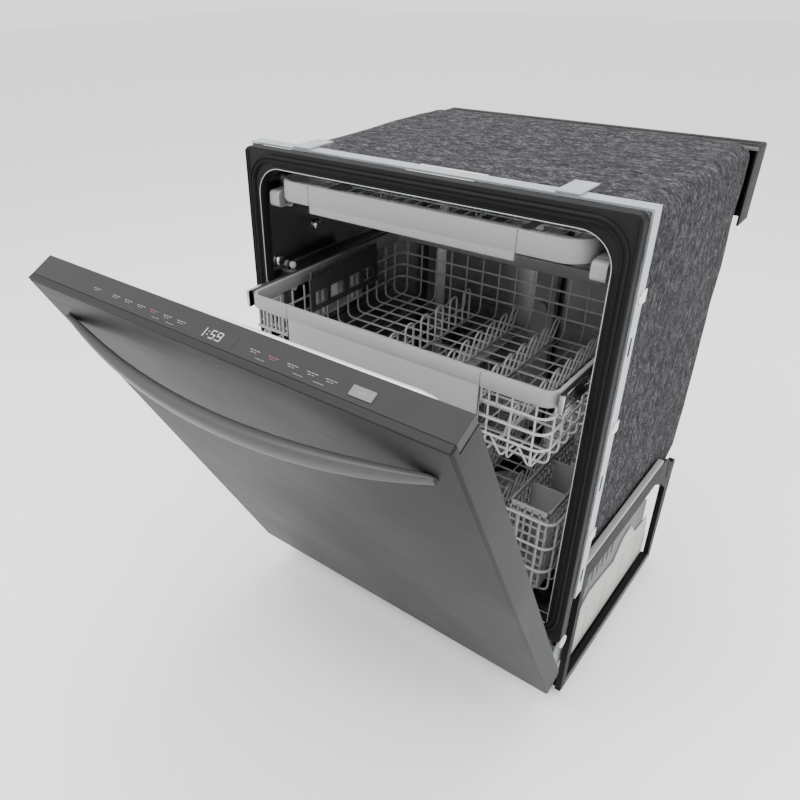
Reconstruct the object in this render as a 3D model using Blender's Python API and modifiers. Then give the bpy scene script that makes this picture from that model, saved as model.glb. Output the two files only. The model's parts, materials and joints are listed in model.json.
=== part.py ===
"""Built-in dishwasher with its door part open, as separate pieces on their joints.

Metres, +Z up, front towards -Y. The origin is on the floor, under the middle of the
machine as it stands with the door part open.

The cabinet group's own frame has y = 0 at the sealing plane of the tub and z = 0 under
the base rails. The door group's frame sits on the hinge axis: x along the width, z up
the door and y into the tub.
"""

import math

import bmesh
import bpy
from mathutils import Matrix, Vector

# ---------------------------------------------------------------- driving dimensions
CABINET_Y = -0.0985          # sealing plane, from the origin
CABINET_Z = 0.010            # height of the base rails over the floor
GAP = 0.0003                 # clearance between touching pieces

FRAME_HALF_WIDTH = 0.295
FRAME_TOP = 0.801
FRAME_BOTTOM = 0.150
FRAME_FRONT = 0.004
FRAME_BACK = 0.022
MOUTH_HALF_WIDTH = 0.270
MOUTH_TOP = 0.775
MOUTH_BOTTOM = 0.180
MOUTH_RADIUS = 0.042

TUB_HALF_WIDTH = 0.272
TUB_TOP = 0.776
TUB_FLOOR = 0.182
TUB_BACK = 0.490
TUB_SHEET = 0.0012
SUMP_Y = 0.265
SUMP_HOLE_RADIUS = 0.100

BLANKET_HALF_WIDTH = 0.286
BLANKET_TOP = 0.790
BLANKET_BOTTOM = 0.235
BLANKET_FRONT = 0.048
BLANKET_BACK = 0.502
BLANKET_THICKNESS = 0.0085

BASE_INNER = 0.2885
BASE_OUTER = 0.298
BASE_FRONT = 0.047
BASE_BACK = 0.4537
BASE_TOP = 0.278
LEG_X = 0.268
LEG_FRONT_Y = 0.100
LEG_BACK_Y = 0.400

DOOR_OPEN = math.radians(28.0)
HINGE_Y = 0.0157
HINGE_Z = 0.0819
DOOR_HALF_WIDTH = 0.300
DOOR_HEIGHT = 0.735
DOOR_FRONT = -0.0405         # outer face, in the door's own y
DOOR_SHEET = 0.0009
STRIP_DEPTH = 0.0315         # front to back of the control strip
STRIP_THICKNESS = 0.013
INNER_FLANGE_Y = -0.017      # inner sheet's flat border
INNER_FACE_Y = 0.028         # inner sheet's raised field
INNER_HALF_WIDTH = 0.250
INNER_LOW = 0.105
INNER_HIGH = 0.690
HANDLE_HALF_LENGTH = 0.272
HANDLE_TOP = 0.680
HANDLE_BOW = 0.044
ARM_X = 0.2793               # middle of each hinge arm
ARM_THICKNESS = 0.003
START_KEY = (0.189, 0.214, -0.0260, -0.0150)     # x from, to, door y from, to
KEY_TRAVEL = 0.0008
DISPENSER_LEFT = -0.120
DISPENSER_RIGHT = 0.060
DISPENSER_LOW = 0.285
DISPENSER_HIGH = 0.383
CAP_X = 0.026
CAP_Z = 0.334

UPPER_FRONT = -0.053         # front of each rack, in the cabinet frame
UPPER_HALF_WIDTH = 0.2545
UPPER_RIM_TOP = 0.597
UPPER_RIM_BOTTOM = 0.576
UPPER_APRON_BOTTOM = 0.505
UPPER_FLOOR = 0.478
THIRD_FRONT = 0.006
THIRD_HALF_WIDTH = 0.241
THIRD_TOP = 0.760
THIRD_BOTTOM = 0.740
THIRD_APRON_BOTTOM = 0.720
LOWER_FRONT = 0.005
LOWER_HALF_WIDTH = 0.252
LOWER_FLOOR = 0.2125
LOWER_RIM = 0.352
RACK_DEPTH = 0.400
WIRE_RADIUS = 0.0022
APRON_LEFT = -0.174
APRON_RIGHT = 0.153

GUIDE_INNER = 0.2625         # wall guides and the sliding rails beside them
GUIDE_OUTER = 0.2712
RAIL_OUTER = 0.2620
UPPER_RAIL_INNER = 0.2560
THIRD_RAIL_INNER = 0.2425

WHEEL_RADIUS = 0.018
WHEEL_Z = MOUTH_BOTTOM + 0.0035 + WHEEL_RADIUS
WHEEL_YS = (0.080, 0.330)
LOWER_ARM_HALF_LENGTH = 0.185
UPPER_ARM_HALF_LENGTH = 0.175
UPPER_TINES_X = -0.060
LOWER_TINES_X = -0.0633
SHELF_X = -0.222
SHELF_LOW = 0.535
SHELF_HIGH = 0.606
BASKET_LEFT = 0.180          # cutlery basket, in the lower rack
BASKET_RIGHT = 0.2415
BASKET_FRONT = 0.016
BASKET_BACK = 0.230
BASKET_LOW = 0.2195
BASKET_HIGH = 0.364

# ---------------------------------------------------------------- scene and helpers
for old in list(bpy.data.objects):
    bpy.data.objects.remove(old, do_unlink=True)


def make_collection(name):
    """A new collection in the scene."""
    collection = bpy.data.collections.new(name)
    bpy.context.scene.collection.children.link(collection)
    return collection


PARTS = make_collection("dishwasher")
CUTTERS = make_collection("cutters")
AXES = make_collection("joint_axes")


def make_material(name, color, roughness, metallic=0.0):
    """A Principled material."""
    material = bpy.data.materials.new(name)
    material.use_nodes = True
    shader = material.node_tree.nodes["Principled BSDF"]
    shader.inputs["Base Color"].default_value = (*color, 1.0)
    shader.inputs["Roughness"].default_value = roughness
    shader.inputs["Metallic"].default_value = metallic
    return material


def make_group(name, location=(0.0, 0.0, 0.0), parent=None, tilt=0.0):
    """An empty on a joint's axis, which the pieces that move with it hang from."""
    empty = bpy.data.objects.new(name, None)
    empty.empty_display_size = 0.05
    empty.parent = parent
    empty.location = location
    empty.rotation_euler = (tilt, 0.0, 0.0)
    AXES.objects.link(empty)
    return empty


def add_object(name, mesh, group, material=None):
    """A piece of the machine, or a hidden tool for a Boolean where it has no material."""
    piece = bpy.data.objects.new(name, mesh)
    piece.parent = group
    if material is None:
        piece.hide_render = True
        piece.display_type = "WIRE"
        CUTTERS.objects.link(piece)
    else:
        mesh.materials.clear()
        mesh.materials.append(material)
        PARTS.objects.link(piece)
    mesh.shade_smooth()
    mesh.set_sharp_from_angle(angle=math.radians(35.0))
    return piece


def mesh_from(name, build):
    """A mesh filled by build(bm)."""
    bm = bmesh.new()
    build(bm)
    bmesh.ops.recalc_face_normals(bm, faces=bm.faces)
    mesh = bpy.data.meshes.new(name)
    bm.to_mesh(mesh)
    bm.free()
    return mesh


def bevel(piece, width, segments=2):
    """Round a piece's edges."""
    modifier = piece.modifiers.new("rounding", "BEVEL")
    modifier.width = width
    modifier.segments = segments
    modifier.limit_method = "ANGLE"
    modifier.angle_limit = math.radians(40.0)
    return piece


def thicken(piece, thickness, offset=-1.0):
    """Give an open surface its sheet thickness: inwards, or outwards where offset is 1."""
    modifier = piece.modifiers.new("sheet", "SOLIDIFY")
    modifier.thickness = thickness
    modifier.offset = offset
    modifier.use_even_offset = True
    return piece


def combine(piece, tool, operation):
    """Cut a tool out of a piece, or join it on."""
    modifier = piece.modifiers.new(tool.name, "BOOLEAN")
    modifier.operation = operation
    modifier.object = tool
    return piece


def cut(piece, *tools):
    """Cut each tool out of a piece."""
    for tool in tools:
        combine(piece, tool, "DIFFERENCE")
    return piece


def join(piece, *tools):
    """Join each tool onto a piece."""
    for tool in tools:
        combine(piece, tool, "UNION")
    return piece


def box(name, group, low, high, material=None, radius=0.0, open_faces=()):
    """A box between two corners. open_faces are outward directions left out of it."""
    size = [b - a for a, b in zip(low, high)]
    centre = Vector([(a + b) / 2 for a, b in zip(low, high)])

    def build(bm):
        bmesh.ops.create_cube(bm, size=1.0, matrix=Matrix.Diagonal((*size, 1.0)))
        removed = [f for f in bm.faces if any(f.normal.dot(Vector(d)) > 0.9 for d in open_faces)]
        bmesh.ops.delete(bm, geom=removed, context="FACES")

    piece = add_object(name, mesh_from(name, build), group, material)
    piece.location = centre
    if radius:
        bevel(piece, radius)
    return piece


TURN_TO = {"X": (0.0, math.pi / 2, 0.0), "Y": (-math.pi / 2, 0.0, 0.0), "Z": (0.0, 0.0, 0.0)}


def rod(name, group, centre, radius, length, axis="Z", material=None, sides=24):
    """A round rod centred on a point and lying along an axis."""
    def build(bm):
        bmesh.ops.create_cone(bm, cap_ends=True, segments=sides, radius1=radius, radius2=radius,
                              depth=length)

    piece = add_object(name, mesh_from(name, build), group, material)
    piece.location = centre
    piece.rotation_euler = TURN_TO[axis]
    return piece


def turned(name, group, centre, profile, material, axis="Z", steps=24):
    """A turned piece from (radius, height) points running down its outer side."""
    mesh = bpy.data.meshes.new(name)
    points = [(radius, 0.0, height) for radius, height in profile]
    mesh.from_pydata(points, [(i, i + 1) for i in range(len(points) - 1)], [])
    piece = add_object(name, mesh, group, material)
    piece.location = centre
    piece.rotation_euler = TURN_TO[axis]
    modifier = piece.modifiers.new("turning", "SCREW")
    modifier.axis = "Z"
    modifier.steps = steps
    modifier.render_steps = steps
    modifier.use_merge_vertices = True
    modifier.merge_threshold = 0.00001
    return piece


def arc(centre, radius, start, end, steps):
    """Points along an arc, angles in degrees."""
    angles = [math.radians(start + (end - start) * i / steps) for i in range(steps + 1)]
    return [(centre[0] + radius * math.cos(a), centre[1] + radius * math.sin(a)) for a in angles]


def rounded_rectangle(low, high, radius, steps=4, foot_radius=None):
    """A rectangle's outline with round corners, anticlockwise."""
    (x0, y0), (x1, y1) = low, high
    foot = radius if foot_radius is None else foot_radius
    return (arc((x1 - foot, y0 + foot), foot, -90, 0, steps)
            + arc((x1 - radius, y1 - radius), radius, 0, 90, steps)
            + arc((x0 + radius, y1 - radius), radius, 90, 180, steps)
            + arc((x0 + foot, y0 + foot), foot, 180, 270, steps))


FACE_ALONG = {"X": (math.pi / 2, 0.0, math.pi / 2), "Y": (math.pi / 2, 0.0, 0.0),
              "Z": (0.0, 0.0, 0.0)}


def curve_to_mesh(curve_object):
    """The welded mesh of a curve object, which is removed."""
    depsgraph = bpy.context.evaluated_depsgraph_get()
    mesh = bpy.data.meshes.new_from_object(curve_object.evaluated_get(depsgraph))
    bm = bmesh.new()
    bm.from_mesh(mesh)
    bmesh.ops.remove_doubles(bm, verts=bm.verts, dist=0.00001)
    bmesh.ops.recalc_face_normals(bm, faces=bm.faces)
    bm.to_mesh(mesh)
    bm.free()
    bpy.data.objects.remove(curve_object, do_unlink=True)
    return mesh


def plate(name, group, outlines, axis, low, high, material=None):
    """A flat piece: outlines, the first the outer one, across an axis from low to high.

    Outline points are (y, z) across X, (x, z) across Y and (x, y) across Z.
    """
    curve = bpy.data.curves.new(name, "CURVE")
    curve.dimensions = "2D"
    curve.fill_mode = "BOTH"
    curve.extrude = (high - low) / 2
    for outline in outlines:
        spline = curve.splines.new("POLY")
        spline.points.add(len(outline) - 1)
        for point, (u, v) in zip(spline.points, outline):
            point.co = (u, v, 0.0, 1.0)
        spline.use_cyclic_u = True
    guide = bpy.data.objects.new(name + "_outline", curve)
    CUTTERS.objects.link(guide)
    bpy.context.view_layer.update()
    piece = add_object(name, curve_to_mesh(guide), group, material)
    piece.rotation_euler = FACE_ALONG[axis]
    middle = (low + high) / 2
    piece.location = {"X": (middle, 0, 0), "Y": (0, middle, 0), "Z": (0, 0, middle)}[axis]
    return piece


def tubes(name, group, paths, radius, material=None, cyclic=False, resolution=1):
    """Round bars along paths of points, as one mesh of separate bars."""
    curve = bpy.data.curves.new(name, "CURVE")
    curve.dimensions = "3D"
    curve.bevel_depth = radius
    curve.bevel_resolution = resolution
    curve.use_fill_caps = True
    for path in paths:
        spline = curve.splines.new("POLY")
        spline.points.add(len(path) - 1)
        for point, place in zip(spline.points, path):
            point.co = (*place, 1.0)
        spline.use_cyclic_u = cyclic
    guide = bpy.data.objects.new(name + "_path", curve)
    CUTTERS.objects.link(guide)
    bpy.context.view_layer.update()
    return add_object(name, curve_to_mesh(guide), group, material)


def loft(name, group, rings, material=None, caps=(True, True)):
    """A surface through a row of closed rings with as many points each, capped at its ends."""
    def build(bm):
        rows = [[bm.verts.new(point) for point in ring] for ring in rings]
        for first, second in zip(rows, rows[1:]):
            for i, vertex in enumerate(first):
                j = (i + 1) % len(first)
                bm.faces.new((vertex, first[j], second[j], second[i]))
        for capped, row in zip(caps, (rows[0], rows[-1])):
            if capped:
                bm.faces.new(row)

    return add_object(name, mesh_from(name, build), group, material)


def spread(low, high, count):
    """Evenly spaced values from low to high."""
    return [low + (high - low) * i / (count - 1) for i in range(count)]


BOTH_SIDES = (("left", -1), ("right", 1))


def sided(side, inner, outer):
    """The x range of something that is mirrored to the left."""
    return (inner, outer) if side > 0 else (-outer, -inner)


# ---------------------------------------------------------------- materials
DARK_STEEL = make_material("dark_steel", (0.075, 0.072, 0.076), 0.38, 0.85)
STAINLESS = make_material("stainless", (0.62, 0.62, 0.63), 0.22, 1.0)
ZINC = make_material("zinc_steel", (0.55, 0.58, 0.60), 0.4, 0.9)
BLACK_PLASTIC = make_material("black_plastic", (0.03, 0.03, 0.032), 0.5)
STRIP_PLASTIC = make_material("strip_plastic", (0.16, 0.16, 0.165), 0.35)
GREY_PLASTIC = make_material("grey_plastic", (0.42, 0.42, 0.43), 0.45)
DARK_GREY = make_material("dark_grey_plastic", (0.10, 0.10, 0.105), 0.5)
PALE_PLASTIC = make_material("pale_plastic", (0.50, 0.50, 0.47), 0.55)
WHITE_PLASTIC = make_material("white_plastic", (0.8, 0.8, 0.8), 0.4)
RUBBER = make_material("black_rubber", (0.02, 0.02, 0.021), 0.7)
FELT = make_material("felt", (0.16, 0.155, 0.165), 0.95)
COATED_WIRE = make_material("coated_wire", (0.6, 0.6, 0.61), 0.4)
PUMP_METAL = make_material("pump_metal", (0.3, 0.3, 0.31), 0.45, 0.6)

# ---------------------------------------------------------------- groups on their axes
CABINET = make_group("cabinet", (0.0, CABINET_Y, CABINET_Z))
DOOR = make_group("door_hinge", (0.0, HINGE_Y, HINGE_Z), CABINET, DOOR_OPEN)
UPPER_RAILS = make_group("upper_rails_slide", (0.0, UPPER_FRONT, 0.0), CABINET)
UPPER_RACK = make_group("upper_rack_slide", (0.0, 0.0, 0.0), UPPER_RAILS)
THIRD_RAILS = make_group("third_rails_slide", (0.0, THIRD_FRONT, 0.0), CABINET)
THIRD_RACK = make_group("third_rack_slide", (0.0, 0.0, 0.0), THIRD_RAILS)
LOWER_RACK = make_group("lower_rack_slide", (0.0, LOWER_FRONT, 0.0), CABINET)


# ---------------------------------------------------------------- cabinet pieces
def tub_liner():
    """Stainless tub, open to the front, with a hole in its floor for the sump."""
    tub = box("tub_liner", CABINET, (-TUB_HALF_WIDTH, FRAME_BACK + 0.0005, TUB_FLOOR),
              (TUB_HALF_WIDTH, TUB_BACK, TUB_TOP), STAINLESS, open_faces=[(0, -1, 0)])
    bevel(tub, 0.036, 3).modifiers["rounding"].limit_method = "WEIGHT"
    weights = tub.data.attributes.new("bevel_weight_edge", "FLOAT", "EDGE")
    floor_local = (TUB_FLOOR - TUB_TOP) / 2
    front_local = (FRAME_BACK + 0.0005 - TUB_BACK) / 2
    for edge in tub.data.edges:
        ends = [tub.data.vertices[i].co for i in edge.vertices]
        at_front = all(abs(end.y - front_local) < GAP for end in ends)
        at_floor = all(abs(end.z - floor_local) < GAP for end in ends)
        weights.data[edge.index].value = 0.0 if at_front else (0.04 if at_floor else 1.0)
    thicken(tub, TUB_SHEET, 1.0).modifiers["sheet"].use_even_offset = False
    cut(tub, rod("sump_hole_tool", CABINET, (0.0, SUMP_Y, TUB_FLOOR), SUMP_HOLE_RADIUS, 0.02))


def front_frame():
    """Black frame around the mouth of the tub, with its sealing ring."""
    outer = rounded_rectangle((-FRAME_HALF_WIDTH, FRAME_BOTTOM), (FRAME_HALF_WIDTH, FRAME_TOP), 0.010)
    mouth = rounded_rectangle((-MOUTH_HALF_WIDTH, MOUTH_BOTTOM), (MOUTH_HALF_WIDTH, MOUTH_TOP),
                              MOUTH_RADIUS, foot_radius=0.0010)
    plate("front_frame", CABINET, [outer, mouth], "Y", FRAME_FRONT, FRAME_BACK, BLACK_PLASTIC)
    seal_outer = rounded_rectangle((-0.288, 0.155), (0.288, 0.794), 0.045)
    seal_inner = rounded_rectangle((-0.277, 0.169), (0.277, 0.783), 0.035)
    plate("door_gasket", CABINET, [seal_outer, seal_inner], "Y", GAP, FRAME_FRONT - GAP, RUBBER)


def tub_flange():
    """Steel band up both sides of the frame and across its top."""
    outside, inside, top, sheet = 0.2982, 0.2955, 0.8040, 0.8013
    bottom = 0.235
    outline = [(-outside, bottom), (-inside, bottom), (-inside, sheet), (inside, sheet),
               (inside, bottom), (outside, bottom), (outside, top), (-outside, top)]
    plate("tub_flange", CABINET, [outline], "Y", FRAME_BACK + 0.0005, FRAME_BACK + 0.0225, ZINC)


def sound_blanket():
    """Felt blanket over the top, the sides and the back of the tub."""
    blanket = box("sound_blanket", CABINET, (-BLANKET_HALF_WIDTH, BLANKET_FRONT, BLANKET_BOTTOM),
                  (BLANKET_HALF_WIDTH, BLANKET_BACK, BLANKET_TOP), FELT,
                  open_faces=[(0, -1, 0), (0, 0, -1)])
    bevel(blanket, 0.022, 3)
    thicken(blanket, BLANKET_THICKNESS)
    corner = box("blanket_corner_tool", CABINET, (-0.30, -0.10, -0.10), (0.30, 0.10, 0.0))
    corner.location = (0.0, BLANKET_BACK - 0.020, BLANKET_BOTTOM - 0.018)
    corner.rotation_euler = (math.radians(42.0), 0.0, 0.0)
    cut(blanket, corner)


def rear_bumper():
    """Black channel across the top of the back, held off the tub by two bosses."""
    bumper = box("rear_bumper", CABINET, (-BLANKET_HALF_WIDTH, 0.509, 0.657),
                 (BLANKET_HALF_WIDTH, 0.567, 0.776), BLACK_PLASTIC,
                 open_faces=[(0, -1, 0), (0, 0, -1)])
    bevel(bumper, 0.004)
    thicken(bumper, 0.003)
    for name, side in BOTH_SIDES:
        x0, x1 = sided(side, 0.140, 0.162)
        join(bumper, box("bumper_boss_" + name, CABINET, (x0, 0.5035, 0.690), (x1, 0.5655, 0.750)))


def base_frames():
    """Side frames of the base: an upright frame with a foot flange turned inwards."""
    for name, side in BOTH_SIDES:
        outer = [(BASE_FRONT, 0.0), (BASE_BACK, 0.0), (BASE_BACK, BASE_TOP - 0.064),
                 (BASE_BACK - 0.009, BASE_TOP - 0.050), (BASE_BACK - 0.050, BASE_TOP - 0.012),
                 (BASE_BACK - 0.080, BASE_TOP), (BASE_FRONT, BASE_TOP)]
        window = [(BASE_FRONT + 0.016, 0.020), (BASE_BACK - 0.018, 0.020),
                  (BASE_BACK - 0.026, BASE_TOP - 0.090), (BASE_BACK - 0.060, BASE_TOP - 0.060),
                  (BASE_BACK - 0.108, BASE_TOP - 0.034), (BASE_FRONT + 0.016, BASE_TOP - 0.034)]
        x0, x1 = sided(side, BASE_INNER, BASE_OUTER)
        frame = plate("base_frame_" + name, CABINET, [outer, window], "X", x0, x1, BLACK_PLASTIC)
        f0, f1 = sided(side, 0.256, BASE_INNER + 0.002)
        join(frame, box("foot_flange_" + name, CABINET, (f0, BASE_FRONT + 0.004, 0.0010),
                        (f1, BASE_BACK - 0.004, 0.0050)))
        for y in (LEG_FRONT_Y, LEG_BACK_Y):
            cut(frame, rod("leg_hole_tool", CABINET, (side * LEG_X, y, 0.003), 0.0056, 0.02, sides=12))


def base_inner():
    """Cross rail and drip pan between the side frames."""
    box("front_crossmember", CABINET, (-0.288, 0.062, 0.0055), (0.288, 0.080, 0.056), ZINC, 0.002)
    pan = box("drip_pan", CABINET, (-0.2545, 0.086, 0.0012), (0.2545, 0.440, 0.150), PALE_PLASTIC,
              open_faces=[(0, 0, 1)])
    bevel(pan, 0.010)
    thicken(pan, 0.0025)


def leveling_legs():
    """Four screwed feet."""
    for end, y in (("front", LEG_FRONT_Y), ("back", LEG_BACK_Y)):
        for name, side in BOTH_SIDES:
            profile = [(0.0, 0.062), (0.0042, 0.062), (0.0050, 0.060), (0.0050, 0.0085),
                       (0.0120, 0.0070), (0.0180, 0.0030), (0.0180, 0.0), (0.0, 0.0)]
            turned(f"leveling_leg_{end}_{name}", CABINET, (side * LEG_X, y, -CABINET_Z), profile,
                   BLACK_PLASTIC, steps=16)


def hinge_brackets():
    """Zinc plates at the front of the base, each with the pin that the door turns on."""
    outline = [(0.006, 0.068), (0.078, 0.060), (0.078, 0.214), (0.034, 0.214), (0.027, 0.120),
               (0.006, 0.095)]
    for name, side in BOTH_SIDES:
        x0, x1 = sided(side, 0.283, 0.286)
        bracket = plate("hinge_bracket_" + name, CABINET, [outline], "X", x0, x1, ZINC)
        join(bracket, rod("hinge_pin_tool_" + name, CABINET, (side * 0.280, HINGE_Y, HINGE_Z),
                          0.0035, 0.010, "X", sides=16))


def door_springs():
    """Counterbalance springs along the sides of the base."""
    for name, side in BOTH_SIDES:
        x = side * 0.2715
        spring = rod("door_spring_" + name, CABINET, (x, 0.215, 0.105), 0.0085, 0.150, "Y", ZINC, 12)
        join(spring,
             box("spring_front_hook_" + name, CABINET, (x - 0.002, 0.118, 0.103), (x + 0.002, 0.150, 0.107)),
             box("spring_back_hook_" + name, CABINET, (x - 0.002, 0.280, 0.103), (x + 0.002, 0.312, 0.107)))


def wash_system():
    """Sump, filter, pumps, inlet valve, riser and the spray arm on the sump."""
    top = TUB_FLOOR - TUB_SHEET - 0.0008
    sump_profile = [(0.0, 0.1885), (0.013, 0.1885), (0.013, 0.096), (0.103, 0.096), (0.105, top),
                    (0.118, top), (0.118, 0.174), (0.109, 0.172), (0.109, 0.088), (0.0, 0.088)]
    turned("sump", CABINET, (0.0, SUMP_Y, 0.0), sump_profile, DARK_GREY, steps=28)
    turned("filter_cup", CABINET, (0.060, SUMP_Y, 0.0),
           [(0.0, 0.1830), (0.020, 0.1830), (0.026, 0.1865), (0.036, 0.1865), (0.036, 0.1835),
            (0.030, 0.1810), (0.028, 0.100), (0.0, 0.100)], GREY_PLASTIC, steps=20)

    pump = rod("wash_pump", CABINET, (-0.180, 0.300, 0.062), 0.042, 0.090, "X", PUMP_METAL, 20)
    join(pump, rod("pump_volute_tool", CABINET, (-0.180, 0.300, 0.062), 0.030, 0.116, "X", sides=16))
    drain = rod("drain_pump", CABINET, (0.165, 0.350, 0.046), 0.027, 0.062, "Y", PUMP_METAL, 16)
    join(drain, rod("drain_port_tool", CABINET, (0.165, 0.330, 0.075), 0.010, 0.040, "Z", sides=12))
    valve = box("inlet_valve", CABINET, (0.170, 0.115, 0.012), (0.225, 0.165, 0.052), WHITE_PLASTIC,
                0.003)
    join(valve, rod("valve_inlet_tool", CABINET, (0.1975, 0.105, 0.032), 0.011, 0.030, "Y", sides=12))

    riser = box("water_manifold", CABINET, (-0.022, 0.466, 0.1845), (0.022, 0.487, 0.640),
                GREY_PLASTIC, 0.004)
    join(riser, rod("manifold_port_tool", CABINET, (0.0, 0.463, 0.459), 0.011, 0.016, "Y", sides=12))

    spray_arm("lower_spray_arm", CABINET, SUMP_Y, LOWER_ARM_HALF_LENGTH, 0.1895, 0.2025)


def spray_arm(name, group, y, half_length, low, high):
    """A spray arm: a flat blade that tapers to both ends, on a round hub."""
    rings = []
    for t in spread(-1.0, 1.0, 9):
        half_width = 0.010 + 0.012 * math.sqrt(max(0.0, 1.0 - t * t))
        half_height = (high - low) / 2 * (0.55 + 0.30 * (1.0 - t * t))
        middle = (low + high) / 2
        ring = [(half_width * math.cos(a), y + t * half_length, middle + half_height * math.sin(a))
                for a in [math.tau * i / 10 for i in range(10)]]
        rings.append(ring)
    arm = loft(name, group, rings, GREY_PLASTIC)
    join(arm, rod(name + "_hub_tool", group, (0.0, y, (low + high) / 2), 0.024, high - low + 0.0008,
                  sides=16))


def worktop_brackets():
    """Steel tabs on top that screw up into the worktop."""
    for name, side in BOTH_SIDES:
        x0, x1 = sided(side, 0.185, 0.215)
        box("worktop_bracket_" + name, CABINET, (x0, 0.0235, 0.8045), (x1, 0.078, 0.8065), ZINC)


def wall_guides():
    """Guides on the tub's side walls for the two upper racks."""
    for name, side in BOTH_SIDES:
        x0, x1 = sided(side, GUIDE_INNER, GUIDE_OUTER)
        box("upper_guide_" + name, CABINET, (x0, 0.050, 0.572), (x1, 0.450, 0.600), STAINLESS, 0.001)
        box("third_guide_" + name, CABINET, (x0, 0.060, 0.712), (x1, 0.450, 0.738), STAINLESS, 0.001)


# ---------------------------------------------------------------- door pieces
def door_outer_panel():
    """Front sheet with its side returns and the folded lip along its top edge."""
    panel = box("door_outer_panel", DOOR, (-DOOR_HALF_WIDTH, DOOR_FRONT, 0.003),
                (DOOR_HALF_WIDTH, -0.001, DOOR_HEIGHT), DARK_STEEL,
                open_faces=[(0, 1, 0), (0, 0, -1)])
    bevel(panel, 0.003)
    thicken(panel, DOOR_SHEET)
    space_front, space_low = -STRIP_DEPTH - 0.0005, DOOR_HEIGHT - STRIP_THICKNESS - 0.0005
    cut(panel, box("strip_space_tool", DOOR, (-0.31, space_front, space_low),
                   (0.31, 0.01, DOOR_HEIGHT + 0.01)))


def door_inner_panel():
    """Inner sheet: a flat border and a raised field that fills the mouth of the tub."""
    border = 0.2975
    low, high = 0.030, DOOR_HEIGHT - STRIP_THICKNESS - 0.001

    def ring(half_width, z0, z1, radius, y):
        return [(x, y, z) for x, z in rounded_rectangle((-half_width, z0), (half_width, z1), radius, 3)]

    rings = [ring(border, low, high, 0.004, INNER_FLANGE_Y),
             ring(INNER_HALF_WIDTH, INNER_LOW, INNER_HIGH, 0.034, INNER_FLANGE_Y),
             ring(INNER_HALF_WIDTH - 0.002, INNER_LOW + 0.002, INNER_HIGH - 0.002, 0.032,
                  INNER_FACE_Y - 0.004),
             ring(INNER_HALF_WIDTH - 0.006, INNER_LOW + 0.006, INNER_HIGH - 0.006, 0.028,
                  INNER_FACE_Y)]
    panel = loft("door_inner_panel", DOOR, rings, STAINLESS, caps=(False, True))
    thicken(panel, DOOR_SHEET, 0.0)
    cut(panel, box("dispenser_hole_tool", DOOR, (DISPENSER_LEFT - 0.0005, -0.01, DISPENSER_LOW - 0.0005),
                   (DISPENSER_RIGHT + 0.0005, 0.06, DISPENSER_HIGH + 0.0005)))


def control_strip():
    """Strip along the door's top edge, with the start key let into it."""
    top, key_low = DOOR_HEIGHT, DOOR_HEIGHT - 0.0070
    strip = box("control_strip", DOOR, (-DOOR_HALF_WIDTH + 0.0005, -STRIP_DEPTH, top - STRIP_THICKNESS),
                (DOOR_HALF_WIDTH - 0.0005, -0.0005, top), STRIP_PLASTIC, 0.0006)
    x0, x1, y0, y1 = START_KEY
    cut(strip, box("key_pocket_tool", DOOR, (x0 - 0.0005, y0 - 0.0005, key_low),
                   (x1 + 0.0005, y1 + 0.0005, top + 0.01)))
    box("start_key", DOOR, (x0, y0, key_low + KEY_TRAVEL + 0.0006), (x1, y1, top + 0.0012),
        GREY_PLASTIC, 0.0004)


def door_handle():
    """Bowed bar across the front of the door, thin where it meets the sheet at both ends."""
    rings = []
    for t in spread(-1.0, 1.0, 17):
        rise = 1.0 - t * t
        front = DOOR_FRONT - 0.0050 - HANDLE_BOW * rise
        depth = 0.0046 + 0.0135 * math.sqrt(rise)
        height = 0.010 + 0.018 * (1.0 - t ** 4)
        middle = (front + depth / 2, HANDLE_TOP - height / 2)
        ring = []
        for angle in [math.tau * i / 12 for i in range(12)]:
            c, s = math.cos(angle), math.sin(angle)
            ring.append((t * HANDLE_HALF_LENGTH,
                         middle[0] + depth / 2 * math.copysign(abs(c) ** 0.7, c),
                         middle[1] + height / 2 * math.copysign(abs(s) ** 0.7, s)))
        rings.append(ring)
    loft("door_handle", DOOR, rings, DARK_STEEL)


def dispenser():
    """Detergent dispenser: a housing with a cup, its hinged lid and the rinse aid cap."""
    face = INNER_FACE_Y + 0.0010
    cup_left, cup_right = DISPENSER_LEFT + 0.012, DISPENSER_LEFT + 0.112
    cup_low, cup_high = DISPENSER_LOW + 0.012, DISPENSER_HIGH - 0.012
    body = box("dispenser_body", DOOR, (DISPENSER_LEFT, 0.0, DISPENSER_LOW),
               (DISPENSER_RIGHT, face, DISPENSER_HIGH), GREY_PLASTIC, 0.0008)
    cut(body, box("cup_tool", DOOR, (cup_left, 0.004, cup_low), (cup_right, face + 0.01, cup_high)),
        rod("cap_well_tool", DOOR, (CAP_X, face, CAP_Z), 0.0205, 0.010, "Y"))
    box("dispenser_lid", DOOR, (cup_left - 0.004, face + GAP, cup_low - 0.004),
        (cup_right + 0.004, face + 0.0018, cup_high + 0.004), DARK_GREY, 0.0005)
    cap = rod("rinse_cap", DOOR, (CAP_X, face - 0.0017, CAP_Z), 0.0190, 0.0060, "Y", DARK_GREY, 24)
    join(cap, box("cap_grip_tool", DOOR, (CAP_X - 0.014, face, CAP_Z - 0.002),
                  (CAP_X + 0.014, face + 0.0018, CAP_Z + 0.002)))


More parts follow.
